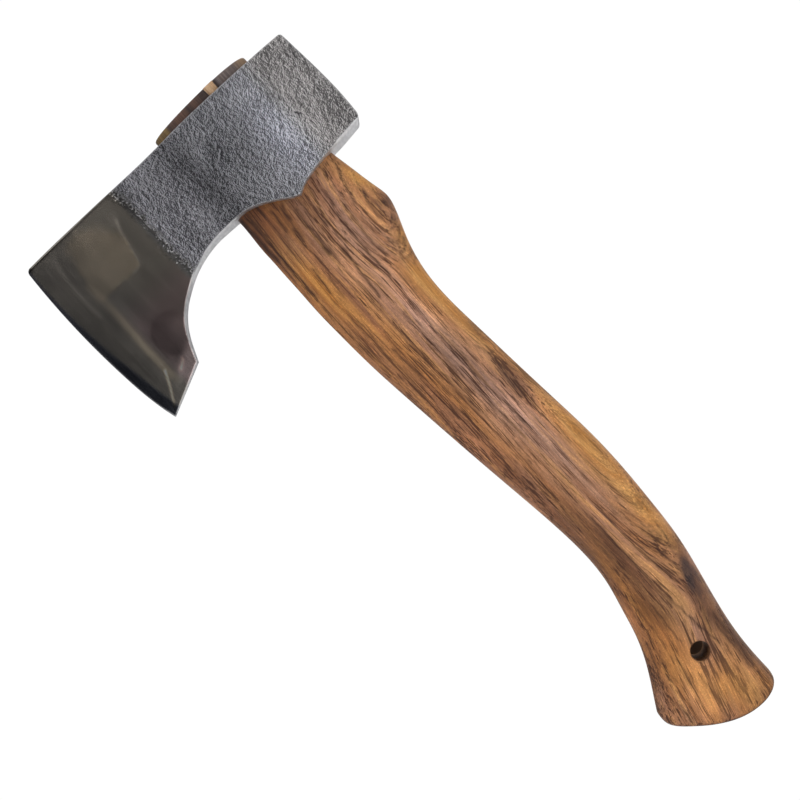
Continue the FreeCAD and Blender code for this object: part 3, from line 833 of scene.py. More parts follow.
def cheek_points(ring):
    """Points of a cheek in the side view: outline, rows just inside it, grid. And inward normals."""
    tangent = np.roll(ring, -1, 0) - np.roll(ring, 1, 0)
    tangent /= np.linalg.norm(tangent, axis=1)[:, None]
    inward = np.stack([tangent[:, 1], -tangent[:, 0]], 1)
    points = [ring]
    for offset in (0.2, 0.45, 0.8):
        row = ring + inward * offset
        row = row[inside(row, ring)]
        points.append(row[nearest(row, ring) > 0.9 * offset])
    grid = []
    for step, low_x, high_x in CHEEK_GRIDS:
        xs = np.arange(low_x, high_x, step)
        zs = np.arange(234, 331, step * 0.866)
        grid += [(x + (step / 2 if j % 2 else 0), z) for j, z in enumerate(zs) for x in xs]
    grid = np.array(grid)
    grid = grid[inside(grid, ring)]
    points.append(grid[nearest(grid, ring) > 1.1])
    return np.concatenate(points), inward


def cheek_form(points, rim_points, low_points, sharp):
    """Half thickness with eased edges and filed bevel; the distance to the rim; the bevel mask."""
    x, z = points.T
    half = half_head(x, z)
    rim = nearest(points, rim_points)
    # eased edges, kept thin where the blade is thin
    thin = smooth(-30.0, -70.0, x)
    ease = np.minimum(0.62 - 0.25 * thin, 0.42 * half)
    t = np.clip(1 - rim / (0.85 - 0.25 * thin), 0, 1)
    half = half - ease * (1 - np.sqrt(np.maximum(1 - t * t, 0)))
    # bevel filed along the underside
    bevel = np.interp(x, BEVEL[:, 0], BEVEL[:, 1]) * (z < 300.0)
    low = nearest(points, low_points)
    bevel = np.minimum(bevel, 0.6 * half)
    half = half - bevel * np.clip(1 - low / np.maximum(bevel, 0.01), 0, 1)
    bevelled = smooth(bevel + 0.12, bevel - 0.12, low) * smooth(0.12, 0.3, bevel)
    half[sharp] = 0.0
    return half, rim, bevelled


def cheek_surface(x, z, half, rim, forge, side):
    """Height, relief, creases and painted light on the flanks of one cheek; side is -1 (near) or 1 (far).
    """
    seed = 1 if side < 0 else 2
    edge_calm = 0.35 + 0.65 * smooth(0.0, 1.4, rim)
    fine, broad = forged_relief(x, z, seed)
    crease = (creases(x, z) if side < 0 else creases(-x + 6.0, z + 2.0)) * forge
    relief = (fine * forge + broad * forge * smooth(-53.0, -42.0, x)) * edge_calm
    relief = relief + crease * edge_calm
    relief = relief * (1 - 0.55 * smooth(-48.5, -52.0, x))
    relief = relief * (1 - 0.6 * smooth(-45.0, -50.0, x) * smooth(306.0, 318.0, z))
    polish = 0.010 * fractal(x / 11.0, z / 16.0, 0.0, 2, 0.5, seed=61)
    polish = polish * smooth(2.0, 14.0, from_edge(x, z))
    height = half + relief * smooth(0.4, 3.0, half) - polish * (1 - forge) * side
    # painted light: the fine relief a little to either side, subtracted, lights the grain from one side
    before = forged_relief(x - 0.37, z + 0.16, seed)[0]
    after = forged_relief(x + 0.37, z - 0.16, seed)[0]
    return height, relief, crease, (after - before) * forge * side


def eye_section(z, across, thick):
    """The eye's opening at height z: the handle's section with clearance."""
    front, back, half = front_at(z), back_at(z), half_at(z)
    x = (front + back) / 2 + ((back - front) / 2 + EYE_CLEARANCE) * across
    return np.stack([x, (half + EYE_CLEARANCE) * thick, z], 1)


def eye_mouth(rim_x, rim_z, rim_run, across, thick, z_guess):
    """Where the eye meets the head's top or underside, in band coordinates and in space."""
    order = np.argsort(rim_x)
    rim_x, rim_z, rim_run = rim_x[order], rim_z[order], rim_run[order]
    z = np.full(EYE_POINTS, z_guess)
    for _ in range(6):
        points = eye_section(z, across, thick)
        z = np.interp(points[:, 0], rim_x, rim_z)
    points[:, 2] = z
    return np.stack([np.interp(points[:, 0], rim_x, rim_run), points[:, 1]], 1), points


def band_grid(run, near_y, far_y):
    """Points between the two cheeks, as distance along the rim and y."""
    at = np.arange(0.4, run[-1] - 0.4, BAND_STEP)
    grid = []
    for s, near, far in zip(at, np.interp(at, run, near_y), np.interp(at, run, far_y)):
        count = max(1, int(round((far - near) / BAND_STEP)))
        for k in range(1, count):
            grid.append((s, near + (far - near) * k / count))
    return np.array(grid)


def band_surface(grid, run, rim, outward, near_y, far_y, rough_run):
    """Lifts the band's grid points into space, with gentle bumps."""
    def at_rim(values):
        return np.interp(grid[:, 0], run, values)

    points = np.stack([at_rim(rim[:, 0]), grid[:, 1], at_rim(rim[:, 1])], 1)
    bump_height = (0.06 * fractal(*(points / 3.0).T, 3, 0.5, seed=71)
                   + 0.10 * fractal(*(points / 14.0).T, 2, 0.5, seed=72))
    bump_height *= smooth(1.0, 5.0, at_rim(far_y - near_y))
    bump_height *= 0.35 + 0.65 * at_rim(rough_run)
    # calm at the edges, so that the bevel stays even
    edge = np.minimum(grid[:, 1] - at_rim(near_y), at_rim(far_y) - grid[:, 1])
    bump_height *= smooth(0.0, 2.0, edge)
    points[:, 0] += at_rim(outward[:, 0]) * bump_height
    points[:, 2] += at_rim(outward[:, 1]) * bump_height
    return points


def build_head(material):
    ring, runs = outline(OUTLINE_STEP)
    points, inward = cheek_points(ring)
    x, z = points.T
    count = len(points)
    triangles = triangulate(points, list(range(len(ring))))
    bit_start = int(np.argmax(runs == "bit"))
    sharp = np.zeros(count, bool)
    sharp[bit_start:len(ring)] = True
    sharp[0] = True
    low_points = ring[np.isin(runs, ["under", "lug", "heel"])]
    half, rim_distance, bevelled = cheek_form(points, ring[:bit_start], low_points, sharp)
    forge = forge_mask(x, z)
    near, far = (cheek_surface(x, z, half, rim_distance, forge, side) for side in (-1, 1))
    near_y, far_y = -near[0], far[0]
    near_y[sharp] = far_y[sharp] = 0.0
    # the far cheek shares the cutting edge with the near one
    to_far = np.arange(count) + count
    to_far[sharp] = np.arange(count)[sharp]

    # band round the top, poll, underside, beard and heel
    rim_count = bit_start + 1
    rim = ring[:rim_count]
    run = run_length(rim)
    rim_near, rim_far = near_y[:rim_count], far_y[:rim_count]
    rim_runs = np.array(runs[:bit_start].tolist() + ["heel"])
    grid = band_grid(run, rim_near, rim_far)
    across, thick = ring_section(EYE_POINTS)
    mouths = []
    for names, z_guess in ((["top"], 328.5), (["under", "lug"], 275.0)):
        part = np.isin(rim_runs, names)
        mouths.append(eye_mouth(rim[part, 0], rim[part, 1], run[part], across, thick, z_guess))
    (top_flat, top), (low_flat, low) = mouths
    for hole in (top_flat, low_flat):
        grid = grid[~inside(grid, hole) & (nearest(grid, hole) > 0.35)]
    borders = np.concatenate([np.stack([run, rim_near], 1), np.stack([run, rim_far], 1)[1:-1]])
    flat = np.concatenate([borders, grid, top_flat, low_flat])
    top_start = len(borders) + len(grid)
    top_ids = list(range(top_start, top_start + EYE_POINTS))
    low_ids = list(range(top_start + EYE_POINTS, top_start + 2 * EYE_POINTS))
    loop = list(range(rim_count)) + list(range(2 * rim_count - 3, rim_count - 1, -1))
    band_triangles = triangulate(flat, loop, [top_ids, low_ids])
    rough_run = np.isin(rim_runs, ["top", "poll", "poll_corner", "poll_foot"]).astype(float)
    band = band_surface(grid, run, rim, -inward[:rim_count], rim_near, rim_far, rough_run)
    band = np.concatenate([band, top, low])
    to_head = np.zeros(len(flat), int)
    to_head[:rim_count] = np.arange(rim_count)
    to_head[rim_count:len(borders)] = to_far[1:rim_count - 1]
    to_head[len(borders):] = 2 * count + np.arange(len(band))

    # walls of the eye
    wall = []
    for j in range(1, EYE_LEVELS):
        w = j / EYE_LEVELS
        wall.append(eye_section(top[:, 2] * (1 - w) + low[:, 2] * w, across, thick))
    wall_start = 2 * count + len(band)
    rows = [to_head[np.array(top_ids)]]
    rows += [wall_start + j * EYE_POINTS + np.arange(EYE_POINTS) for j in range(EYE_LEVELS - 1)]
    rows.append(to_head[np.array(low_ids)])
    quads = []
    for upper, lower in zip(rows, rows[1:]):
        for i in range(EYE_POINTS):
            k = (i + 1) % EYE_POINTS
            quads.append((upper[i], upper[k], lower[k], lower[i]))

    cheeks = [np.stack([x, y, z], 1) for y in (near_y, far_y)]
    verts = np.concatenate([*cheeks, band, *wall])
    parts = (triangles[:, ::-1], to_far[triangles], to_head[band_triangles])
    faces = [tuple(face) for part in parts for face in part] + quads
    ob = make_object("head_steel", verts, faces, material)

    def whole(near_values, far_values, rest=0.0):
        """Cheek values, with one value for the band and the eye."""
        return np.concatenate([near_values, far_values, np.full(len(verts) - 2 * count, rest)])

    below = np.isin(rim_runs, ["under", "lug", "heel"]).astype(float)
    under = whole(bevelled, bevelled)
    under[2 * count:2 * count + len(grid)] = np.interp(grid[:, 0], run, below)
    under[wall_start - EYE_POINTS:wall_start] = 1.0
    for ids in (np.arange(rim_count), to_far[:rim_count]):
        under[ids] = np.maximum(below, under[ids])
    edge = from_edge(x, z)
    # painted reflection and shade, stored on the points as tone, tint and cast
    tone, tint, cast = head_painted_light(verts[:, 0], verts[:, 2])
    for name, values in (
            ("forge", whole(forge, forge)), ("band", whole(bevelled, bevelled, 1.0)),
            ("edge_mm", whole(edge, edge, 50.0)),
            ("rim_mm", whole(rim_distance, rim_distance)), ("cast", cast),
            ("crease", whole(near[2], far[2])), ("tone", tone), ("tint", tint),
            ("relief", whole(near[1], far[1])), ("lit", whole(near[3], far[3])),
            ("under", under)):
        set_attribute(ob, name, values)
    finish_mesh(ob, angle=48.0, merge=0.000004, loose_first=True)
    return ob


# ====================================================================== shader tools
# Shader functions add nodes to the current tree, set by start_tree().
class Value:
    """Output of a shader node, with plain arithmetic that adds math nodes."""

    def __init__(self, made, key=0):
        self.socket = made.outputs[key]

    def __add__(self, other):
        return calc("ADD", self, other)

    def __radd__(self, other):
        return calc("ADD", other, self)

    def __sub__(self, other):
        return calc("SUBTRACT", self, other)

    def __rsub__(self, other):
        return calc("SUBTRACT", other, self)

    def __mul__(self, other):
        return calc("MULTIPLY", self, other)


def start_tree(owner, output="ShaderNodeOutputMaterial"):
    """Empties the owner's node tree, makes it current and adds its output node."""
    global tree, output_node
    owner.use_nodes = True
    tree = owner.node_tree
    tree.nodes.clear()
    output_node = tree.nodes.new(output)
    return owner


def new_material(name):
    return start_tree(bpy.data.materials.new(name))


def put(socket, value):
    """Links a Value to an input, or sets a number or colour."""
    if isinstance(value, Value):
        tree.links.new(value.socket, socket)
    elif hasattr(value, "__len__"):
        socket.default_value = (tuple(value) + (1.0,))[:len(socket.default_value)]
    else:
        socket.default_value = value


def node(kind, inputs, **settings):
    """Adds a node; inputs maps an input's name or number to what goes in."""
    made = tree.nodes.new(kind)
    for key, value in settings.items():
        setattr(made, key, value)
    for key, value in inputs.items():
        put(made.inputs[key], value)
    return made


def finish_tree(surface):
    put(output_node.inputs[0], surface)


def calc(operation, *values):
    return Value(node("ShaderNodeMath", dict(enumerate(values)), operation=operation))


def vector_calc(operation, *values, key=0):
    inputs = dict(enumerate(values))
    return Value(node("ShaderNodeVectorMath", inputs, operation=operation), key)


def span(value, start, end, low=0.0, high=1.0, soft=True):
    """Takes value from start..end to low..high, eased when soft."""
    return Value(node("ShaderNodeMapRange", {
        "Value": value, "From Min": start, "From Max": end, "To Min": low, "To Max": high,
    }, interpolation_type="SMOOTHSTEP" if soft else "LINEAR"), "Result")


def mix(factor, a, b, blend="MIX"):
    """Mix of two colours."""
    return Value(node("ShaderNodeMix", {0: factor, 6: a, 7: b}, data_type="RGBA",
                      blend_type=blend, clamp_factor=True), 2)


def lerp(factor, a, b):
    """Mix of two numbers."""
    return Value(node("ShaderNodeMix", {0: factor, 2: a, 3: b}, data_type="FLOAT",
                      clamp_factor=True))


def multiply(colour, gain):
    return mix(1.0, colour, gain, "MULTIPLY")


def tinted(factor, colour, gain):
    """The colour multiplied by gain, as far as factor."""
    return mix(factor, colour, multiply(colour, gain))


def grey_of(value):
    return Value(node("ShaderNodeCombineXYZ", {0: value, 1: value, 2: value}))


def split(vector):
    made = node("ShaderNodeSeparateXYZ", {0: vector})
    return [Value(made, k) for k in range(3)]


def attr(name, key="Fac"):
    return Value(node("ShaderNodeAttribute", {}, attribute_name=name), key)


def position():
    """Object coordinates in mm."""
    place = Value(node("ShaderNodeTexCoord", {}), "Object")
    return Value(node("ShaderNodeVectorMath", {0: place, "Scale": 1 / MM}, operation="SCALE"))


def shifted(vector, shift):
    return vector_calc("ADD", vector, shift)


def scaled(vector, size, shift=None):
    """Vector measured in units of size, then shifted."""
    vector = vector_calc("MULTIPLY", vector, [1 / s for s in size])
    return shifted(vector, shift) if shift else vector


def noise_at(vector, detail, rough, distortion=0.0):
    return Value(node("ShaderNodeTexNoise", {
        "Vector": vector, "Scale": 1.0, "Detail": detail, "Roughness": rough,
        "Lacunarity": 2.0, "Distortion": distortion}, noise_dimensions="3D"), "Fac")


def noise(vector, size, detail, rough, shift=None, distortion=0.0):
    """Noise with grain of about size (mm) along each axis."""
    return noise_at(scaled(vector, size, shift), detail, rough, distortion)


def colour_ramp(value, stops):
    """Colour by value, straight between stops of (position, colour)."""
    made = node("ShaderNodeValToRGB", {0: value})
    made.color_ramp.interpolation = "LINEAR"
    elements = made.color_ramp.elements
    while len(elements) > 1:
        elements.remove(elements[-1])
    elements[0].position = stops[0][0]
    elements[0].color = stops[0][1] + (1.0,)
    for place, colour in stops[1:]:
        elements.new(place).color = colour + (1.0,)
    return Value(made)


def bump(height, distance, strength, normal=None):
    """Bumped normal; distance is in metres."""
    inputs = {"Height": height, "Distance": distance, "Strength": strength}
    if normal:
        inputs["Normal"] = normal
    return Value(node("ShaderNodeBump", inputs))


def principled(inputs):
    return Value(node("ShaderNodeBsdfPrincipled", inputs))


def srgb(*channels):
    """0-255 screen values to linear."""
    shares = [c / 255.0 for c in channels]
    return tuple(c / 12.92 if c <= 0.04045 else ((c + 0.055) / 1.055) ** 2.4 for c in shares)


# ====================================================================== steel
def flanks(vector, dx, dz, rough):
    """Painted light and shade on the sides of a grain: noise a little to either side, subtracted."""
    return (noise_at(shifted(vector, (-dx, 0, dz)), 2, rough)
            - noise_at(shifted(vector, (dx, 0, -dz)), 2, rough))


def cast_tint(colour, warm, cool, warm_gain, cool_gain):
    return tinted(cool, tinted(warm, colour, warm_gain), cool_gain)


def hammered_skin(p, x, fine, tone, warm, cool):
    """Colour and roughness of the scale: sharp grain, dark pits, rubbed high spots, and painted light and
    shade on the grains' sides and on the creases.
    """
    medium = noise(p, (4.2, 4.2, 5.6), detail=3, rough=0.55)
    high = span(attr("relief"), -0.16, 0.18)
    small = scaled(p, (0.46, 0.46, 0.62))
    large = scaled(p, (1.7, 1.7, 2.3), shift=(9, 4, 2))
    # painted light and shade on the sides of each grain
    lit = (flanks(small, 0.40, 0.13, rough=0.6) * 1.45
           + (flanks(large, 0.28, 0.09, rough=0.55) * 0.60 + attr("lit") * 0.75))
    lit = lit * span(x, 24, 36, low=1.0, high=0.72)
    grain = (fine * 0.22 + 0.33) + (high * 0.12 + lit)
    dark, middle, bright = (0.056, 0.056, 0.060), (0.120, 0.120, 0.125), (0.360, 0.358, 0.372)
    colour = mix(span(grain, 0.36, 0.50), dark, middle)
    colour = mix(span(grain, 0.50, 0.64), colour, bright)
    colour = mix(span(medium, 0.50, 0.36) * 0.12, colour, dark)
    crease = attr("crease")
    # painted highlight on each crease's raised lip and painted shade in its fold
    lip, fold = (0.40, 0.40, 0.42), (0.040, 0.040, 0.044)
    colour = mix(span(crease, 0.03, 0.16) * 0.8, colour, lip)
    colour = mix(span(crease, -0.02, -0.10) * 0.8, colour, fold)
    # tone and tint carry the painted reflection and shade
    colour = multiply(colour, tone)
    colour = cast_tint(colour, warm, cool, (1.06, 1.0, 0.93), (0.93, 0.97, 1.14))
    colour = tinted(span(x, -4, -24), colour, (0.88, 0.87, 0.875))
    return colour, lerp(span(grain, 0.4, 0.62), 0.55, 0.30)


def polished_blade(p, z, band, drag, tone, warm, cool):
    """Colour and roughness of the ground blade, with a honed strip behind the edge."""
    cloud = noise(p, (13, 13, 26), detail=2, rough=0.5, distortion=0.8)
    speck = noise(p, (0.8, 0.8, 0.9), detail=3, rough=0.7)
    colour = mix(span(cloud, 0.34, 0.66), (0.325, 0.312, 0.296), (0.335, 0.321, 0.303))
    # tone and the mauve cast carry the painted reflections
    colour = multiply(colour, tone)
    colour = cast_tint(colour, warm, cool, (1.12, 1.0, 0.83), (0.86, 0.95, 1.22))
    mauve, scratch, glint, honed = (1.08, 0.90, 1.0), (0.5, 0.48, 0.44), (0.8, 0.78, 0.72), (0.5, 0.5, 0.51)
    colour = tinted(attr("cast"), colour, mauve)
    colour = mix(span(drag, 0.52, 0.74) * 0.05, colour, scratch)
    colour = mix(span(speck, 0.70, 0.76) * 0.35, colour, glint)
    hone = span(attr("edge_mm"), 0.8, 0.45) * (1 - band)
    colour = mix(hone * span(z, 300, 270, low=0.1, high=0.7), colour, honed)
    rough = lerp(span(cloud, 0.3, 0.7), 0.17, 0.20) + span(drag, 0.45, 0.8) * 0.05
    return colour, rough


def filed_underside(x, marks):
    """Colour and roughness of the filed faces, darker towards the heel."""
    back = mix(span(marks, 0.35, 0.7), (0.52, 0.52, 0.535), (0.70, 0.70, 0.71))
    front = mix(span(marks, 0.35, 0.7), (0.32, 0.32, 0.33), (0.46, 0.46, 0.47))
    return mix(span(x, -50, -60), back, front), lerp(span(marks, 0.3, 0.7), 0.34, 0.46)


def steel_material():
    material = new_material("forged_steel")
    p = position()
    x, _, z = split(p)
    forge, band, under, tint = (attr(name) for name in ("forge", "band", "under", "tint"))
    # tone, tint and cast hold the painted reflection and shade
    tone = grey_of(attr("tone"))
    warm, cool = (span(tint, 0, end, soft=False) for end in (0.8, -0.8))
    fine = noise(p, (0.58, 0.58, 0.90), detail=2, rough=0.6)
    coarse = noise(p, (1.7, 1.7, 2.6), detail=2, rough=0.55, shift=(9, 4, 2))
    drag = noise(p, (0.45, 3, 30), detail=3, rough=0.6)
    marks = noise(p, (1.2, 9, 1.2), detail=3, rough=0.6)
    # ragged border between skin and blade
    margin = span(forge, 0.01, 0.16) * span(forge, 0.98, 0.70)
    forge = span(forge + (fine - 0.5) * 1.0, 0.34, 0.72)
    skin = calc("MAXIMUM", forge, band * (1 - under))
    skin_colour, skin_rough = hammered_skin(p, x, fine, tone, warm, cool)
    blade_colour, blade_rough = polished_blade(p, z, band, drag, tone, warm, cool)
    filed_colour, filed_rough = filed_underside(x, marks)
    colour = mix(forge, blade_colour, skin_colour)
    margin = margin * lerp(span(fine, 0.50, 0.64), 0.62, 0.05)
    colour = tinted(margin, colour, (0.36, 0.36, 0.37))
    rough = lerp(forge, blade_rough, skin_rough)
    # lighter rim on the eased edges: wear and a painted highlight, least at the upper front
    rim_wear_and_highlight = span(attr("rim_mm"), 0.9, 0.2) * lerp(forge, span(z, 300, 270, 0.0, 0.95), 0.30)
    rim_wear_and_highlight = rim_wear_and_highlight * span(span(x, -50, -60) * 1.0 + span(z, 310, 322), 1.6, 1.1)
    rim_wear_and_highlight = rim_wear_and_highlight * span(fine, 0.3, 0.6, low=0.35, high=1.0)
    rim_wear_and_highlight_colour = mix(span(x, -50, -60), (0.60, 0.60, 0.61), (0.40, 0.40, 0.41))
    colour = mix(rim_wear_and_highlight, colour, rim_wear_and_highlight_colour)
    rough = lerp(rim_wear_and_highlight, rough, 0.34)
    # band between the cheeks: rough on top and poll, filed below; over the blade the top is near black, a
    # painted shade
    top = mix(span(fine, 0.4, 0.62), (0.10, 0.10, 0.105), (0.30, 0.30, 0.31))
    top = mix(span(x, -44, -56), top, (0.030, 0.030, 0.030))
    colour = mix(band, colour, mix(under, top, filed_colour))
    rough = lerp(band, rough, lerp(under, 0.46, filed_rough))
    calm = span(x, 22, 34, low=1.0, high=0.62)
    normal = bump((fine - 0.5) * skin * calm, distance=0.00125, strength=1.0)
    normal = bump((coarse - 0.5) * skin * calm, 0.0009, 0.7, normal)
    normal = bump(drag * (1 - calc("MAXIMUM", forge, band)), 0.00003, 0.5, normal)
    normal = bump(marks * (band * under), 0.0001, 0.6, normal)
    finish_tree(principled({
        "Base Color": colour, "Metallic": 1.0, "Roughness": rough, "Normal": normal}))
    return material


# ====================================================================== wood
# stain across the crown: x and 0-255 colour, front to back
OLIVE, DARK, RUSSET = (110, 92, 58), (54, 49, 50), (90, 68, 60)
GREY, TAN = (108, 100, 100), (158, 128, 94)
CROWN_STAIN = [
    (-23.5, OLIVE), (-15.8, OLIVE), (-14.6, DARK), (-10, RUSSET), (-4.6, RUSSET), (-2.6, DARK),
    (1, RUSSET), (7.5, DARK), (14.6, DARK), (16.2, GREY), (25, GREY), (31.6, TAN)]
STAIN_FRONT, STAIN_BACK = -24.0, 33.0
# pores, smallest first: noise size, shift, threshold, gain in early wood and in dense patches,
# and the width of the step
PORES = [
    ((0.30, 0.30, 5.5), (3, 1, 17), 0.60, 0.05, 0.20, (-0.02, 0.08)),
    ((0.40, 0.40, 12), None, 0.668, 0.09, 0.56, (-0.008, 0.026)),
    ((0.56, 0.56, 20), (31, 7, 3), 0.667, 0.08, 0.54, (-0.008, 0.022))]


def handle_base(early, broad, soft, amber, blue):
    """Colour of the handle's board before fibres and pores."""
    base = mix(span(broad, 0.38, 0.62), srgb(168, 118, 78), srgb(146, 106, 88))
    base = mix(attr("mauve"), base, srgb(164, 130, 118))
    base = mix(span(soft, 0.50, 0.66) * 0.50, base, srgb(190, 141, 94))
    base = mix(span(soft, 0.46, 0.33) * 0.40, base, srgb(118, 74, 50))
    base = mix(early * (0.20 + attr("figure") * 0.42), base, srgb(104, 66, 44))
    honey = mix(span(soft, 0.34, 0.62), srgb(168, 116, 58), srgb(194, 144, 84))
    base = mix(amber * 0.9, base, honey)
    base = multiply(base, mix(attr("mauve"), (0.885, 0.855, 0.745), (0.905, 0.885, 0.83)))
    base = tinted(attr("front"), base, (0.82, 0.74, 0.62))
    base = tinted(attr("red"), base, (0.86, 0.66, 0.46))
    base = multiply(base, grey_of(attr("lift")))
    base = mix(attr("dark") * 0.85, base, srgb(66, 38, 24))
    return mix(blue * 0.92, base, srgb(38, 32, 36))


def crown_stained(colour, p, end):
    """Stain on the crown, and darker end grain."""
    x, _, z = split(p)
    width = STAIN_BACK - STAIN_FRONT
    stops = [((at - STAIN_FRONT) / width, srgb(*tone)) for at, tone in CROWN_STAIN]
    stain = colour_ramp(span(x, STAIN_FRONT, STAIN_BACK, soft=False), stops)
    crown = span(z, 327.9, 328.5)
    fibres = noise(p, (0.55, 2, 30), detail=3, rough=0.6)
    stain = mix(span(fibres, 0.42, 0.66), mix(0.5, stain, (0.01, 0.01, 0.012)), stain)
    colour = mix(crown * 0.93, colour, stain)
    return mix(end * (0.42 - crown * 0.2), colour, mix(0.55, colour, srgb(44, 30, 26)))


def wood_material(name, rough, wedge=None):
    """Open-pored oiled hardwood. wedge holds a wedge's four colours and strength of pores."""
    material = new_material(name)
    # grain coordinates: across, thickness, along
    grain = attr("grain", "Vector")
    across = split(grain)[0]
    p = position()
    # growth rings: distance across the grain with slow wander
    wander = (noise(grain, (16, 16, 90), detail=2, rough=0.5) - 0.5) * 7.0
    ring = calc("FRACT", (across + wander) * (1 / 5.2))
    early = span(ring, 0.0, 0.12) * span(ring, 0.66, 0.2)
    dense_part = (noise(grain, (4.6, 4.6, 38), detail=2, rough=0.55, shift=(5, 9, 1)) - 0.5) * 1.0
    # pores: short dark dashes along the grain
    dashes, pores = [], []
    for size, shift, threshold, early_gain, dense_gain, step in PORES:
        dash = noise(grain, size, detail=1, rough=0.5, shift=shift)
        open_part = early * early_gain + dense_part * dense_gain
        pores.append(span(dash - (threshold - open_part), *step))
        dashes.append(dash)
    fibre = noise(grain, (0.36, 0.36, 13), detail=2, rough=0.6)
    flake = noise(p, (0.48, 0.48, 0.7), detail=2, rough=0.6)
    soft = noise(grain, (2.4, 2.4, 60), detail=3, rough=0.55, shift=(2, 5, 8))
    broad = noise(grain, (10, 10, 85), detail=2, rough=0.5, shift=(12, 3, 4))
    if wedge:
        first, second, soft_colour, pore_colour, pore_amount = wedge
        base = mix(span(broad, 0.38, 0.62), first, second)
        base = mix(span(soft, 0.4, 0.66), base, soft_colour)
    else:
        amber, blue = attr("amber"), attr("blue")
        base = handle_base(early, broad, soft, amber, blue)
        pore_colour = mix(blue, srgb(58, 33, 21), srgb(24, 22, 28))
        pore_amount = 1 - amber * 0.62
    base = tinted(span(fibre, 0.50, 0.72) * 0.26, base, (2.5, 2.35, 2.1))
    base = mix(span(fibre, 0.50, 0.32) * 0.30, base, mix(0.6, base, pore_colour))
    base = tinted(span(flake, 0.52, 0.72) * 0.28, base, (2.6, 2.5, 2.35))
    base = mix(span(flake, 0.48, 0.28) * 0.32, base, mix(0.5, base, pore_colour))
    pores = calc("MAXIMUM", pores[0] * 0.50, calc("MAXIMUM", pores[1] * 0.85, pores[2]))
    pores = pores * pore_amount
    colour = mix(pores * 0.90, base, pore_colour)
    end = attr("end")
    if wedge:
        # end grain is darker
        colour = mix(end * 0.30, colour, mix(0.6, colour, srgb(70, 42, 30)))
    else:
        # veins of the figure, broken up by the fibres
        broken = span(dashes[1] + dashes[0] * 0.5, 0.60, 0.80, low=0.62, high=0.96)
        colour = mix(attr("ink") * broken, colour, srgb(42, 23, 16))
        colour = crown_stained(colour, p, end)
    # painted shade at the steel and in the hanging hole, and darker along the butt
    colour = mix(attr("grime") * 0.9, colour, srgb(30, 20, 17))
    rough = rough + (pores * 0.2 + (fibre * 0.1 + end * 0.14))
    normal = bump(fibre * 0.35 - pores * 1.0, distance=0.00012, strength=0.8)
    waves = noise(p, (9, 9, 22), detail=2, rough=0.5)
    normal = bump(waves, 0.0004, 0.18, normal)
    finish_tree(principled({
        "Base Color": colour, "Roughness": rough, "Normal": normal, "IOR": 1.42,
        "Specular IOR Level": 0.24, "Coat Weight": 0.03, "Coat Roughness": 0.28}))
    return material


# ====================================================================== figure of the wood
def soft_line(rows, spread):
    """Values by height (z, value), joined by straight lines and rounded over."""
    heights = np.arange(-60.0, 360.0, 1.0)
    values = np.interp(heights, [row[0] for row in rows], [row[1] for row in rows])
    weights = np.exp(-0.5 * (np.arange(-30, 31) / spread) ** 2)
    padded = np.pad(values, 30, mode="edge")
    values = np.convolve(padded, weights / weights.sum(), mode="valid")
    return lambda z: np.interp(z, heights, values)


grain_lean = soft_line([
    (-45, -20), (-20, -15.5), (0, -10.8), (20, -5.6), (45, -1), (70, 0.6), (110, 0.4), (150, 0),
    (190, -0.2), (230, 0.6), (265, 3.6), (300, 6), (340, 7)], 6.0)
# the heart of the figure runs down the back; its depth closes the rings into arches and a whorl
heart_x = soft_line([
    (-45, 42), (-20, 37), (0, 30), (12, 24.5), (20, 22), (29, 22.6), (42, 24.2), (68, 26),
    (95, 27), (112, 25.5), (135, 23.4), (165, 23), (190, 27.5), (206, 33), (220, 37.5),
    (244, 38), (270, 37.5), (300, 36), (340, 36)], 3.0)
heart_depth = soft_line([
    (-45, 14), (0, 14.5), (17.6, 15), (29, 14), (42, 12.4), (68, 7), (92, 2.2), (108, 0.9),
    (122, 1.2), (135, 2.4), (165, 5.6), (185, 7), (205, 11), (219, 13), (231, 7), (244, 0.5),
    (256, 6), (270, 12.5), (300, 15), (340, 15)], 2.6)

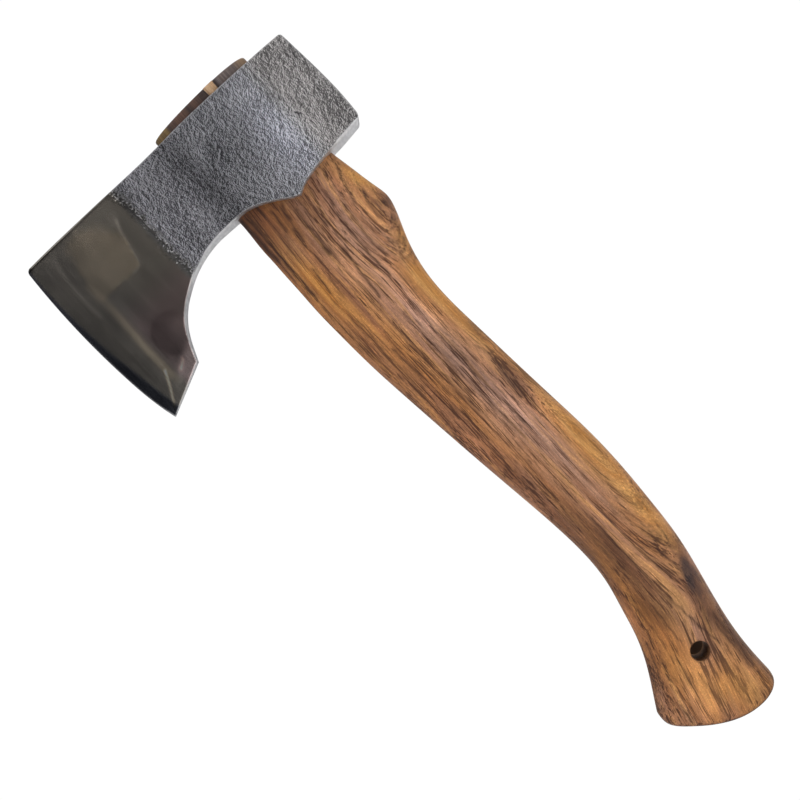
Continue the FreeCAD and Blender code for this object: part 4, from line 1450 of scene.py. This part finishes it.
# dark veins: points (x, z), half width, depth of colour
VEINS = [
    ([(-16.6, 281.2), (-16.4, 273.2), (-16.6, 264.3), (-17.3, 253.1), (-17.8, 239.7),
      (-18.1, 228.5)], 0.75, 0.9),
    ([(-15.1, 281.2), (-15.3, 271), (-16, 259.8)], 0.6, 0.75),
    ([(-19.1, 281.4), (-19.2, 268.8), (-19.3, 253.2)], 1.5, 0.85),
    ([(-18.4, 228.5), (-18.4, 210.6), (-17.8, 192.7)], 0.5, 0.5),
    ([(-6.2, 274.4), (-6.4, 270.4), (-7.1, 265.5), (-7.6, 260.2)], 1.0, 0.95),
    ([(-1.1, 273.5), (-2.1, 268.2), (-2.7, 262.9)], 1.1, 0.95),
    ([(-4.2, 262), (-4.9, 256.6), (-5.8, 249.5)], 0.9, 0.85),
    ([(4.2, 271.3), (3.3, 268.6)], 1.3, 0.8),
    ([(2.9, 267.3), (1.6, 260.2), (1.1, 253.1)], 0.8, 0.7),
    ([(1.3, 253.1), (0.4, 246.8), (-0.4, 239.7)], 1.1, 0.9),
    ([(6, 270), (5.6, 263.7), (5.2, 254.9)], 0.7, 0.7),
    ([(10, 269.5), (8.9, 262.9), (8, 255.7), (7.3, 249.5)], 1.0, 0.8),
    ([(-3.1, 261.1), (-3.8, 253.1)], 0.7, 0.55), ([(-9.1, 262.9), (-9.6, 256.6)], 0.7, 0.6),
    ([(-10.2, 243.3), (-10.9, 237.1), (-11.6, 226.4)], 0.8, 0.75),
    ([(-7.3, 235.3), (-8.2, 228.2), (-8.9, 221.1)], 0.7, 0.55),
    ([(3.3, 249.5), (2.4, 244.2), (1.8, 235.3)], 0.7, 0.5),
    ([(5.8, 240.6), (4.9, 230), (3.8, 220.2), (3.1, 210.4)], 1.0, 0.85),
    ([(15.1, 254), (14, 246), (13.1, 235.3), (12.9, 226.4), (13.3, 214.8)], 0.9, 0.75),
    ([(18, 265.5), (16.7, 259.3), (15.6, 254)], 0.9, 0.8),
    ([(20.2, 254.9), (18.7, 247.7), (17.6, 237.1), (17.6, 228.2), (18.9, 222)], 0.9, 0.75),
    ([(23.6, 271.7), (22.7, 265.5), (21.6, 258.4), (21.1, 253.1)], 0.6, 0.7),
    ([(22, 246), (21.6, 239.7), (22, 231.7)], 0.7, 0.7),
    ([(27.4, 261.2), (25.6, 258.5), (24.3, 254.1), (23.4, 248.7)], 0.8, 0.75),
    ([(23.4, 246.9), (23.1, 238.9), (23.6, 229.1), (24.7, 225.6)], 0.6, 0.55),
    ([(28.8, 267.5), (27.4, 263.9), (25.7, 260.4)], 0.7, 0.8),
    ([(30.4, 254.2), (29.5, 250.7), (28.2, 246.2), (27.5, 240.9), (27.7, 235.5)], 0.8, 0.85),
    ([(31.3, 248), (30.4, 243.5), (30.2, 239.1)], 0.6, 0.55),
    ([(33.6, 244.1), (33.1, 241.4), (32.9, 239.1)], 1.3, 1.0),
    ([(32.7, 247.2), (34.5, 246.3), (35.3, 244.1)], 0.6, 0.8),
    ([(31.8, 240), (31.8, 244.1), (32.7, 246.7)], 0.6, 0.7),
    ([(33.3, 236.4), (31.1, 234.6), (29.1, 232.8)], 0.7, 0.75),
    ([(33.3, 234.6), (30.6, 231.9), (28, 231), (25.7, 232.4)], 0.6, 0.5),
    ([(31.5, 231), (29.2, 227.4), (26.6, 225.2), (23.4, 227.4)], 0.9, 0.6),
    ([(29.9, 226.5), (27.9, 223), (25.7, 220.3), (22.5, 221.2)], 1.0, 0.65),
    ([(23.4, 230.9), (23.6, 226.5), (25.2, 223.8)], 0.7, 0.6),
    ([(28.1, 220.2), (26.1, 216.7), (23.8, 216.7), (21.2, 220.2)], 0.8, 0.5),
    ([(-1.1, 235.3), (-2.4, 225.5), (-2.9, 214.8)], 0.6, 0.55),
    ([(6.4, 201.5), (6, 174.8), (6.7, 148.2), (7.8, 121.5)], 0.6, 0.6),
    ([(11.1, 203.3), (10.9, 179.3), (11.1, 152.6), (12.4, 125.9)], 0.7, 0.75),
    ([(13.3, 192.6), (13.6, 170.4), (13.8, 139.3)], 0.6, 0.6),
    ([(-8.7, 192.6), (-8, 180.2), (-7.6, 172.2)], 0.9, 0.7),
    ([(-4.4, 183.7), (-3.6, 166), (-2.4, 148.2)], 0.6, 0.6),
    ([(-0.7, 201.5), (-0.2, 174.8), (0.7, 148.2)], 0.6, 0.5),
    ([(-12.7, 214.8), (-12.2, 192.6), (-11.3, 174.8)], 0.5, 0.5),
    ([(22.2, 159.7), (20.7, 152.6), (19.6, 142.8), (19.1, 134.8)], 1.5, 0.75),
    ([(19.3, 168.6), (21.6, 161.5), (23.3, 155.3), (24.7, 147.3)], 0.7, 0.5),
    ([(17.1, 157.1), (16.7, 139.3), (17.3, 117.1)], 0.6, 0.45),
    ([(10.4, 77.9), (10, 63.7), (10.7, 51.3), (11.8, 40.6), (13.3, 30.8)], 0.7, 0.55),
    ([(10.7, 53.9), (11.3, 45), (12.9, 36.2), (14, 27.3)], 0.9, 0.75),
    ([(13.6, 81.5), (14.4, 68.2), (15.1, 54.8), (16.2, 45.9), (17.1, 38.8)], 0.6, 0.5),
    ([(16.4, 47.7), (17.1, 42.4), (18, 36.2), (18.9, 30.8)], 0.9, 0.75),
    ([(18.9, 77.1), (18.7, 68.2), (19.6, 59.3), (20, 52.2)], 0.6, 0.5),
    ([(24.7, 56.6), (23.8, 49.5), (22.9, 43.3)], 0.7, 0.6),
    ([(22, 53.9), (21.6, 46.8), (22, 40.6)], 0.6, 0.45),
    ([(6, 29), (6.4, 19.3), (7.1, 10.4), (8.2, 1.5), (8.7, -4.7)], 0.8, 0.7),
    ([(-2, 30.8), (-2.9, 19.3), (-3.6, 7.7)], 0.8, 0.6),
    ([(4.9, 77.9), (4.9, 68.2), (5.1, 50.4), (4.9, 35.3)], 0.7, 0.65),
    ([(-1.6, 78.8), (-0.9, 68.2), (-0.7, 54.8)], 0.6, 0.55),
    ([(-7.5, 34.1), (-8.4, 26.9), (-9.1, 19.8), (-10.4, 10)], 0.7, 0.65),
    ([(-12.2, 21.6), (-14.4, 13.6), (-16.7, 5.6), (-19.3, -2.5)], 0.7, 0.6),
    ([(-14.4, 19.6), (-17.1, 12.5), (-20.7, 4.5), (-23.8, -2.7)], 0.9, 0.7),
    ([(-16.6, 23.2), (-19.8, 13.4), (-23.3, 5.4), (-26.9, -1.8)], 0.8, 0.6),
    ([(-19.8, 16.6), (-23.3, 8.6), (-26.9, 1.4)], 1.0, 0.7),
    ([(-10, 5.7), (-11.8, -4), (-14, -13.8)], 0.7, 0.5),
    ([(-22.4, -10.3), (-23.8, -17.4), (-24.2, -22.7)], 0.8, 0.6),
    ([(-7.3, -5.8), (-8.2, -15.6), (-8.7, -24.5)], 0.7, 0.5),
    ([(13.6, 5.6), (12.7, -8.7), (11.9, -23)], 1.0, 0.6),
    ([(15.9, 9.8), (14.6, -7.1), (13.2, -23.2)], 1.3, 0.6)]

# patches of the board, as rows for spots()
AMBER_SPOTS = [
    (-13, 234, 4.2, 24, 0.85), (-10, 196, 3.4, 24, 0.35), (22.5, 205, 5, 15, 1, 0.05),
    (24, 180, 4, 18, 0.75, 0.02), (32.8, 258, 3.2, 9, 1, -0.25), (31, 226, 4, 5, 0.8, 0.35),
    (26, 96, 5.2, 26, 1), (24.5, 58, 4.6, 16, 0.65), (-4, -18, 11, 12, 0.75),
    (-14, 2, 6, 12, 0.45, 0.4), (8, -30, 9, 8, 0.6), (27.5, 134, 2.6, 26, 0.4),
    (9, 22, 2.4, 26, 0.35)]
DARK_SPOTS = [
    (-19.4, 262, 2, 34, 0.8), (-9, 276, 6, 9, 0.6, 0.1), (2, 264, 11, 14, 0.42, 0.15),
    (-17, 272, 4, 12, 0.4), (7.6, 158, 0.9, 60, 0.6), (12, 162, 1, 55, 0.7),
    (0, 210, 1, 40, 0.3, 0.02), (-1.5, 84, 5, 26, 0.45), (-8, 100, 3, 24, 0.35),
    (22, 150, 1.9, 15, 0.64, 0.06), (24.5, 172, 1.6, 10, 0.4, 0.1),
    (20.5, 30, 3.4, 13, 0.95, 0.25), (14.5, 6, 2, 18, 0.5), (35, 241.5, 2, 4.5, 1.1, 0.15),
    (31.5, 233, 1.5, 3, 0.55, 0.6), (28, 224, 3.6, 1.6, 0.5), (26.5, 214, 3.6, 1.8, 0.45),
    (30, 246, 0.9, 12, 0.45, -0.1), (15.4, -16, 2, 12, 0.55, 0.1), (-28, -2, 2.6, 14, 0.5, 0.7)]
BLUE_SPOTS = [
    (20, 31, 1.8, 5.5, 1.2, 0.35), (18, 20.5, 2.2, 3.6, 1.1, 0.4), (22.8, 34, 1, 3.5, 0.8, 0.4),
    (22, 16, 1, 3, 0.4, 0.2), (12.2, 164, 0.7, 50, 0.45), (35, 241, 1, 2.4, 0.6),
    (15.6, -13, 1, 5, 0.2, 0.1)]
MAUVE_SPOTS = [
    (10, 172, 5.5, 52, 0.95), (12, 245, 9, 24, 0.6), (14, 110, 5, 34, 0.6), (3, 130, 5, 34, 0.35),
    (6, 20, 4, 22, 0.3)]
FIGURE_SPOTS = [
    (20, 40, 9, 34, 1, 0.1), (33, 238, 6, 22, 0.8), (23, 152, 4, 20, 0.8), (20, 90, 8, 30, 0.4)]
# strength here is in doublings of brightness
SHADE_SPOTS = [
    (-11, 268, 9, 11, -0.46), (-12.5, 255, 4.5, 8, -0.30), (-1, 264, 9, 7, -0.50),
    (-3, 253, 3.5, 6, -0.25), (-18.4, 268, 2.6, 16, -0.9), (-0.7, 243, 2.6, 5, -0.45),
    (1.5, 229, 4.5, 9, 0.5), (14.5, 220, 4.5, 7, 0.4), (11.3, 205, 3.6, 10, 0.65),
    (13.5, 190, 4.5, 7, 0.75), (-10.7, 198, 4, 9, 0.18), (7, 173, 3, 11, -0.5),
    (-0.7, 160, 3, 8, -0.4), (-0.7, 147, 4.5, 6, -0.3), (13.5, 136, 4, 9, 0.55),
    (-10.8, 133, 4.4, 10, 0.78), (23.5, 240, 2.8, 10, 0.5), (23.5, 262, 3, 6, 0.4),
    (21, 125, 5, 14, 0.48), (23.5, 158, 2.4, 6, 0.42), (-9, 94, 3.4, 10, 0.48),
    (-0.7, 83, 6, 7, -0.4), (-5.5, 62, 4.6, 14, -0.75), (-2, 48, 5, 10, -0.5),
    (-4.5, 31, 5, 9, -0.8), (0.5, 22, 5.5, 7, -0.7), (9.2, 67, 3.8, 14, 0.20),
    (3, 70, 2.6, 16, -0.48), (-13.2, 30, 2.6, 6, 0.6, 0.3), (16, -6, 4.2, 20, -0.9),
    (12, 8, 4, 6, -0.6), (19, 18, 4, 6, -0.6), (19, -18, 3, 10, -0.5), (-8.7, -2, 3.2, 5, 0.45),
    (0, -3, 4, 4, 0.3), (-15, -12, 5, 6, 0.5), (-4.7, -13, 4, 7, 0.42), (-14, -22, 6, 4.5, 0.5),
    (5, -33, 5, 4, -0.4), (19.5, 51, 3, 5, -0.45)]


def grain_across(x, y, z):
    """Distance across the grain."""
    middle, depth = heart_x(z), heart_depth(z)
    lean = grain_lean(z) * (1 - smooth(-19.0, 29.0, x))
    bend = (middle - np.hypot(x - middle, depth) - x) * smooth(-20.0, 14.0, x)
    across = x + bend - lean
    return across + 0.35 * np.sin(z / 31.0 + x / 19.0) - 0.016 * y * y + 0.05 * y


def veins(x, z):
    total = np.zeros(len(x))
    for points, width, depth in VEINS:
        start = points[0][0]
        wobble = 0.16 * np.sin(z * 0.9 + start) + 0.12 * np.sin(z * 0.37 + 2.0 * start)
        vein = along(x + wobble, z, points, width * 0.72, 2.2)
        total = np.maximum(total, min(1.12 * depth, 1.0) * vein)
    return total


def dark_field(x, z, mottle):
    dark = np.clip(spots(x, z, DARK_SPOTS) * (0.8 + 1.1 * mottle), 0, 1)
    band = smooth(-4.6, -1.5, x) * smooth(5.7, 4.9, x)
    band = band * smooth(23.0, 36.0, z + 2.0 * mottle) * smooth(86.0, 66.0, z)
    band = band * (0.42 + 0.34 * smooth(-1.0, 2.0, x) + 0.3 * mottle)
    return np.clip(np.maximum(dark, band), 0, 1)


def blue_field(x, z, mottle):
    """Blue-black patches, and a smudge like a leaning V at the back of the lower grip."""
    blue = np.clip(spots(x, z, BLUE_SPOTS) * (0.9 + 0.9 * mottle), 0, 1)
    run, across = (x - 19.8) * 0.42 + (z - 28.5) * 0.91, (x - 19.8) * 0.91 - (z - 28.5) * 0.42
    smudge = smooth(1.25, 0.55, np.hypot(run / 9.5, across / 2.5) + 0.5 * mottle)
    arm_x = (x - 22.2 + (26.0 - z) * 0.12) / 1.5
    arm = smooth(1.3, 0.5, np.hypot(arm_x, (z - 26.0) / 6.0) + 0.5 * mottle)
    return np.clip(np.maximum(blue * 0.35, np.maximum(smudge * 0.8, arm * 0.6)), 0, 1)


def shade_and_dark_butt_field(x, z):
    """Painted shade where the wood meets the steel and inside the hanging hole; also darker along the
    butt's curve.
    """
    top = smooth(330.0, 328.2, z) * (z > 300)
    low = smooth(268.0, 280.0, z) * smooth(292.0, 285.0, z) * 0.3
    r = np.hypot(x, z)
    rim = (smooth(HOLE_RADIUS + 0.06, HOLE_RADIUS + 0.01, r) * 0.30
           + smooth(0.5, 0.0, np.abs(r - HOLE_RADIUS - 0.2)) * 0.2)
    butt = smooth(1.3, 0.2, -butt_distance(x, z)) * 0.5
    return np.clip(top * 0.4 + low + rim + butt, 0, 1)


def paint_wood(ob):
    """Stores the wood's grain coordinates and colour fields on the mesh."""
    count = len(ob.data.vertices)
    flat = np.zeros(count * 3)
    ob.data.vertices.foreach_get("co", flat)
    x, y, z = (flat.reshape(-1, 3) / MM).T
    across = grain_across(x, y, z)
    grain = ob.data.attributes.new("grain", "FLOAT_VECTOR", "POINT")
    grain.data.foreach_set("vector", columns(across, y * 0.9, z).astype(np.float32).ravel())
    # the far side has the same figure, shifted
    side = np.where(y > 0, 1.0, 0.0)
    fig_x, fig_z = x + side * 3.0, z - side * 17.0
    cloudy = fractal(across / 9.0, y / 14.0, z / 42.0, 3, 0.5, seed=81)
    mottle = fractal(across / 4.0, y / 10.0, z / 30.0, 3, 0.5, seed=91)
    shade = spots(fig_x, fig_z, SHADE_SPOTS)
    front = (smooth(2.0, -8.0, fig_x) * smooth(262.0, 236.0, fig_z)
             * smooth(-18.0, 20.0, fig_z))
    # end: surface cut across the fibres
    ob.data.vertices.foreach_get("normal", flat)
    upright = np.abs(flat.reshape(-1, 3)[:, 2])
    end = smooth(0.55, 0.9, upright) * np.where((z > 300) | (z < 20), 1.0, 0.0)
    for name, values in (
            ("figure", np.clip(spots(fig_x, fig_z, FIGURE_SPOTS), 0, 1)),
            ("ink", veins(fig_x, fig_z)),
            ("lift", np.clip(2.0 ** (shade * (1.0 + 0.5 * mottle)), 0.35, 2.0)),
            ("red", smooth(2.0, -10.0, fig_x) * smooth(252.0, 272.0, fig_z) * 0.8),
            ("front", np.clip(front, 0, 1)),
            ("amber", np.clip(spots(fig_x, fig_z, AMBER_SPOTS) + 0.5 * cloudy, 0, 1)),
            ("dark", dark_field(fig_x, fig_z, mottle)),
            ("blue", blue_field(fig_x, fig_z, mottle)),
            ("mauve", np.clip(spots(fig_x, fig_z, MAUVE_SPOTS) + 0.4 * cloudy, 0, 1)),
            ("end", end), ("grime", shade_and_dark_butt_field(x, z))):
        set_attribute(ob, name, values)


# ====================================================================== the visual pieces
# two broad colours, colour of the soft streaks, pore colour, strength of the pores
DARK_WEDGE = (srgb(98, 62, 50), srgb(66, 44, 44), srgb(120, 76, 56), srgb(36, 26, 26), 1.0)
PALE_WEDGE = (srgb(164, 134, 104), srgb(150, 118, 88), srgb(176, 148, 118), srgb(112, 82, 56), 0.6)
steel = steel_material()
handle_wood = wood_material("handle_wood", rough=0.40)
dark_wood = wood_material("dark_wedge_wood", rough=0.46, wedge=DARK_WEDGE)
pale_wood = wood_material("pale_wedge_wood", rough=0.5, wedge=PALE_WEDGE)

head = build_head(steel)
handle = build_handle(handle_wood)
main_wedge = build_main_wedge(dark_wood)
cross_wedge = build_cross_wedge(pale_wood)
for piece in (handle, main_wedge, cross_wedge):
    paint_wood(piece)

for piece, replaced, slot in (
        (head, "head", "forged_steel"), (handle, "handle", "handle_wood"),
        (main_wedge, "main_wedge", "dark_wedge_wood"),
        (cross_wedge, "cross_wedge", "pale_wedge_wood")):
    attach(piece, "root")
    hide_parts(replaced)

# ====================================================================== stage
FLOOR_Z, FLOOR_HALF = -36.66, 3000
PAPER_HALF, PAPER_LOW_Z, PAPER_TOP_Z = 1600, -36.5, 1500


def paper_y(z):
    """The paper leans back: its y at height z."""
    return 12.55 + (z + 30.0) * (15.9 - 12.55) / (300.0 + 30.0)


def mix_shader(factor, a, b):
    return Value(node("ShaderNodeMixShader", {0: factor, 1: a, 2: b}))


def white_glow():
    return Value(node("ShaderNodeEmission", {0: (1, 1, 1), 1: 1.02}))


def seen_from_front():
    """1 for rays arriving from nearly straight in front of the near cheek."""
    incoming = Value(node("ShaderNodeNewGeometry", {}), "Incoming")
    facing = vector_calc("DOT_PRODUCT", incoming, (0, -1, 0), key="Value")
    return span(facing, 0.90, 0.93, soft=False)


def paper_material():
    """Glowing white paper, with a painted shadow where the camera sees it through the hanging hole."""
    material = new_material("paper")
    x, _, z = split(position())
    rays = node("ShaderNodeLightPath", {})
    camera_ray, glossy_ray = Value(rays, "Is Camera Ray"), Value(rays, "Is Glossy Ray")
    seen = seen_from_front()
    # painted shadow: the paper seen through the hanging hole is dark
    hole_shadow = span(calc("SQRT", x * x + z * z), 9.5, 8.5, soft=False)
    lit = mix(glossy_ray, (0.82, 0.82, 0.82), (0.50, 0.50, 0.51))
    colour = mix(camera_ray * hole_shadow, lit, (0.17, 0.14, 0.12))
    diffuse = Value(node("ShaderNodeBsdfDiffuse", {0: colour}))
    front = mix_shader(camera_ray * (1 - hole_shadow), diffuse, white_glow())
    clear = Value(node("ShaderNodeBsdfTransparent", {}))
    finish_tree(mix_shader(seen, clear, front))
    return material


def floor_material():
    """Pale matt floor, as white as the paper when seen straight from the front."""
    material = new_material("pale_floor")
    grain = noise(position(), (55, 55, 55), detail=4, rough=0.5)
    matt = principled({
        "Base Color": mix(grain, (0.86, 0.86, 0.86), (0.90, 0.90, 0.895)), "Roughness": 0.75,
        "Emission Color": (1, 1, 1), "Emission Strength": 0.2})
    camera_ray = Value(node("ShaderNodeLightPath", {}), "Is Camera Ray")
    finish_tree(mix_shader(seen_from_front() * camera_ray, matt, white_glow()))
    return material


def sheet(name, corners, material):
    mesh = bpy.data.meshes.new(name)
    mesh.from_pydata([tuple(c * MM for c in corner) for corner in corners], [], [(0, 1, 2, 3)])
    ob = bpy.data.objects.new(name, mesh)
    scene.collection.objects.link(ob)
    mesh.materials.append(material)


def build_world():
    """White to the camera; reflections see a dim room between two bright sides."""
    world = bpy.data.worlds.new("studio")
    scene.world = world
    start_tree(world, "ShaderNodeOutputWorld")
    rays = node("ShaderNodeLightPath", {})
    x, y, z = split(Value(node("ShaderNodeTexCoord", {}), "Generated"))
    ahead = calc("ABSOLUTE", y) + span(x, -0.1, -0.5) * 0.24
    dim = mix(span(x, -0.12, -0.4), (0.165, 0.160, 0.150), (0.07, 0.072, 0.078))
    glossy = mix(span(ahead, 0.60, 0.90), (1.05, 1.05, 1.05), dim)
    diffuse = mix(span(z, -0.2, 0.9), (0.70, 0.70, 0.71), (0.86, 0.86, 0.86))
    colour = mix(Value(rays, "Is Glossy Ray"), diffuse, glossy)
    colour = mix(Value(rays, "Is Camera Ray"), colour, (1, 1, 1))
    finish_tree(Value(node("ShaderNodeBackground", {0: colour, 1: 1.0})))


def area_light(name, place, size, power, color):
    """Square light aimed at the middle of the handle; place and size in metres."""
    light = bpy.data.lights.new(name, "AREA")
    light.shape = "RECTANGLE"
    light.size = light.size_y = size
    light.energy = power
    light.color = color
    ob = bpy.data.objects.new(name, light)
    scene.collection.objects.link(ob)
    ob.location = place
    aim = Vector((0.0, 0.0, 0.17)) - Vector(place)
    ob.rotation_euler = aim.to_track_quat("-Z", "Y").to_euler()
    ob.visible_camera = False


def build_camera():
    """Camera in front of the near cheek, looking along +Y and rolled about its axis."""
    camera = bpy.data.cameras.new("photo_view")
    camera.lens = 90.0
    camera.sensor_width = 36.0
    camera.clip_start = 0.01
    ob = bpy.data.objects.new("photo_view", camera)
    scene.collection.objects.link(ob)
    roll_cos, roll_sin = 0.73155, 0.68181
    turn = Matrix(((roll_cos, roll_sin, 0.0), (0.0, 0.0, -1.0), (-roll_sin, roll_cos, 0.0)))
    ob.matrix_world = Matrix.Translation(Vector((-0.0216, -0.900, 0.1725))) @ turn.to_4x4()
    scene.camera = ob


paper, pale_floor = paper_material(), floor_material()
sheet("floor", [(a * FLOOR_HALF, b * FLOOR_HALF, FLOOR_Z)
                for a, b in ((-1, -1), (1, -1), (1, 1), (-1, 1))], pale_floor)
# the paper's foot takes its y from a little below the floor
foot_y, top_y = paper_y(-39), paper_y(PAPER_TOP_Z)
sheet("paper", [(-PAPER_HALF, foot_y, PAPER_LOW_Z), (PAPER_HALF, foot_y, PAPER_LOW_Z),
                (PAPER_HALF, top_y, PAPER_TOP_Z), (-PAPER_HALF, top_y, PAPER_TOP_Z)], paper)
build_world()
area_light("key", place=(-0.55, -0.75, 0.95), size=0.55, power=5.0, color=(1, 0.985, 0.96))
area_light("fill", place=(0.75, -0.7, 0.1), size=0.7, power=3.0, color=(0.96, 0.98, 1))

scene.view_settings.view_transform = "Standard"
scene.view_settings.look = "None"
scene.view_settings.exposure = 0.0
scene.view_settings.gamma = 1.0
build_camera()

note_size()
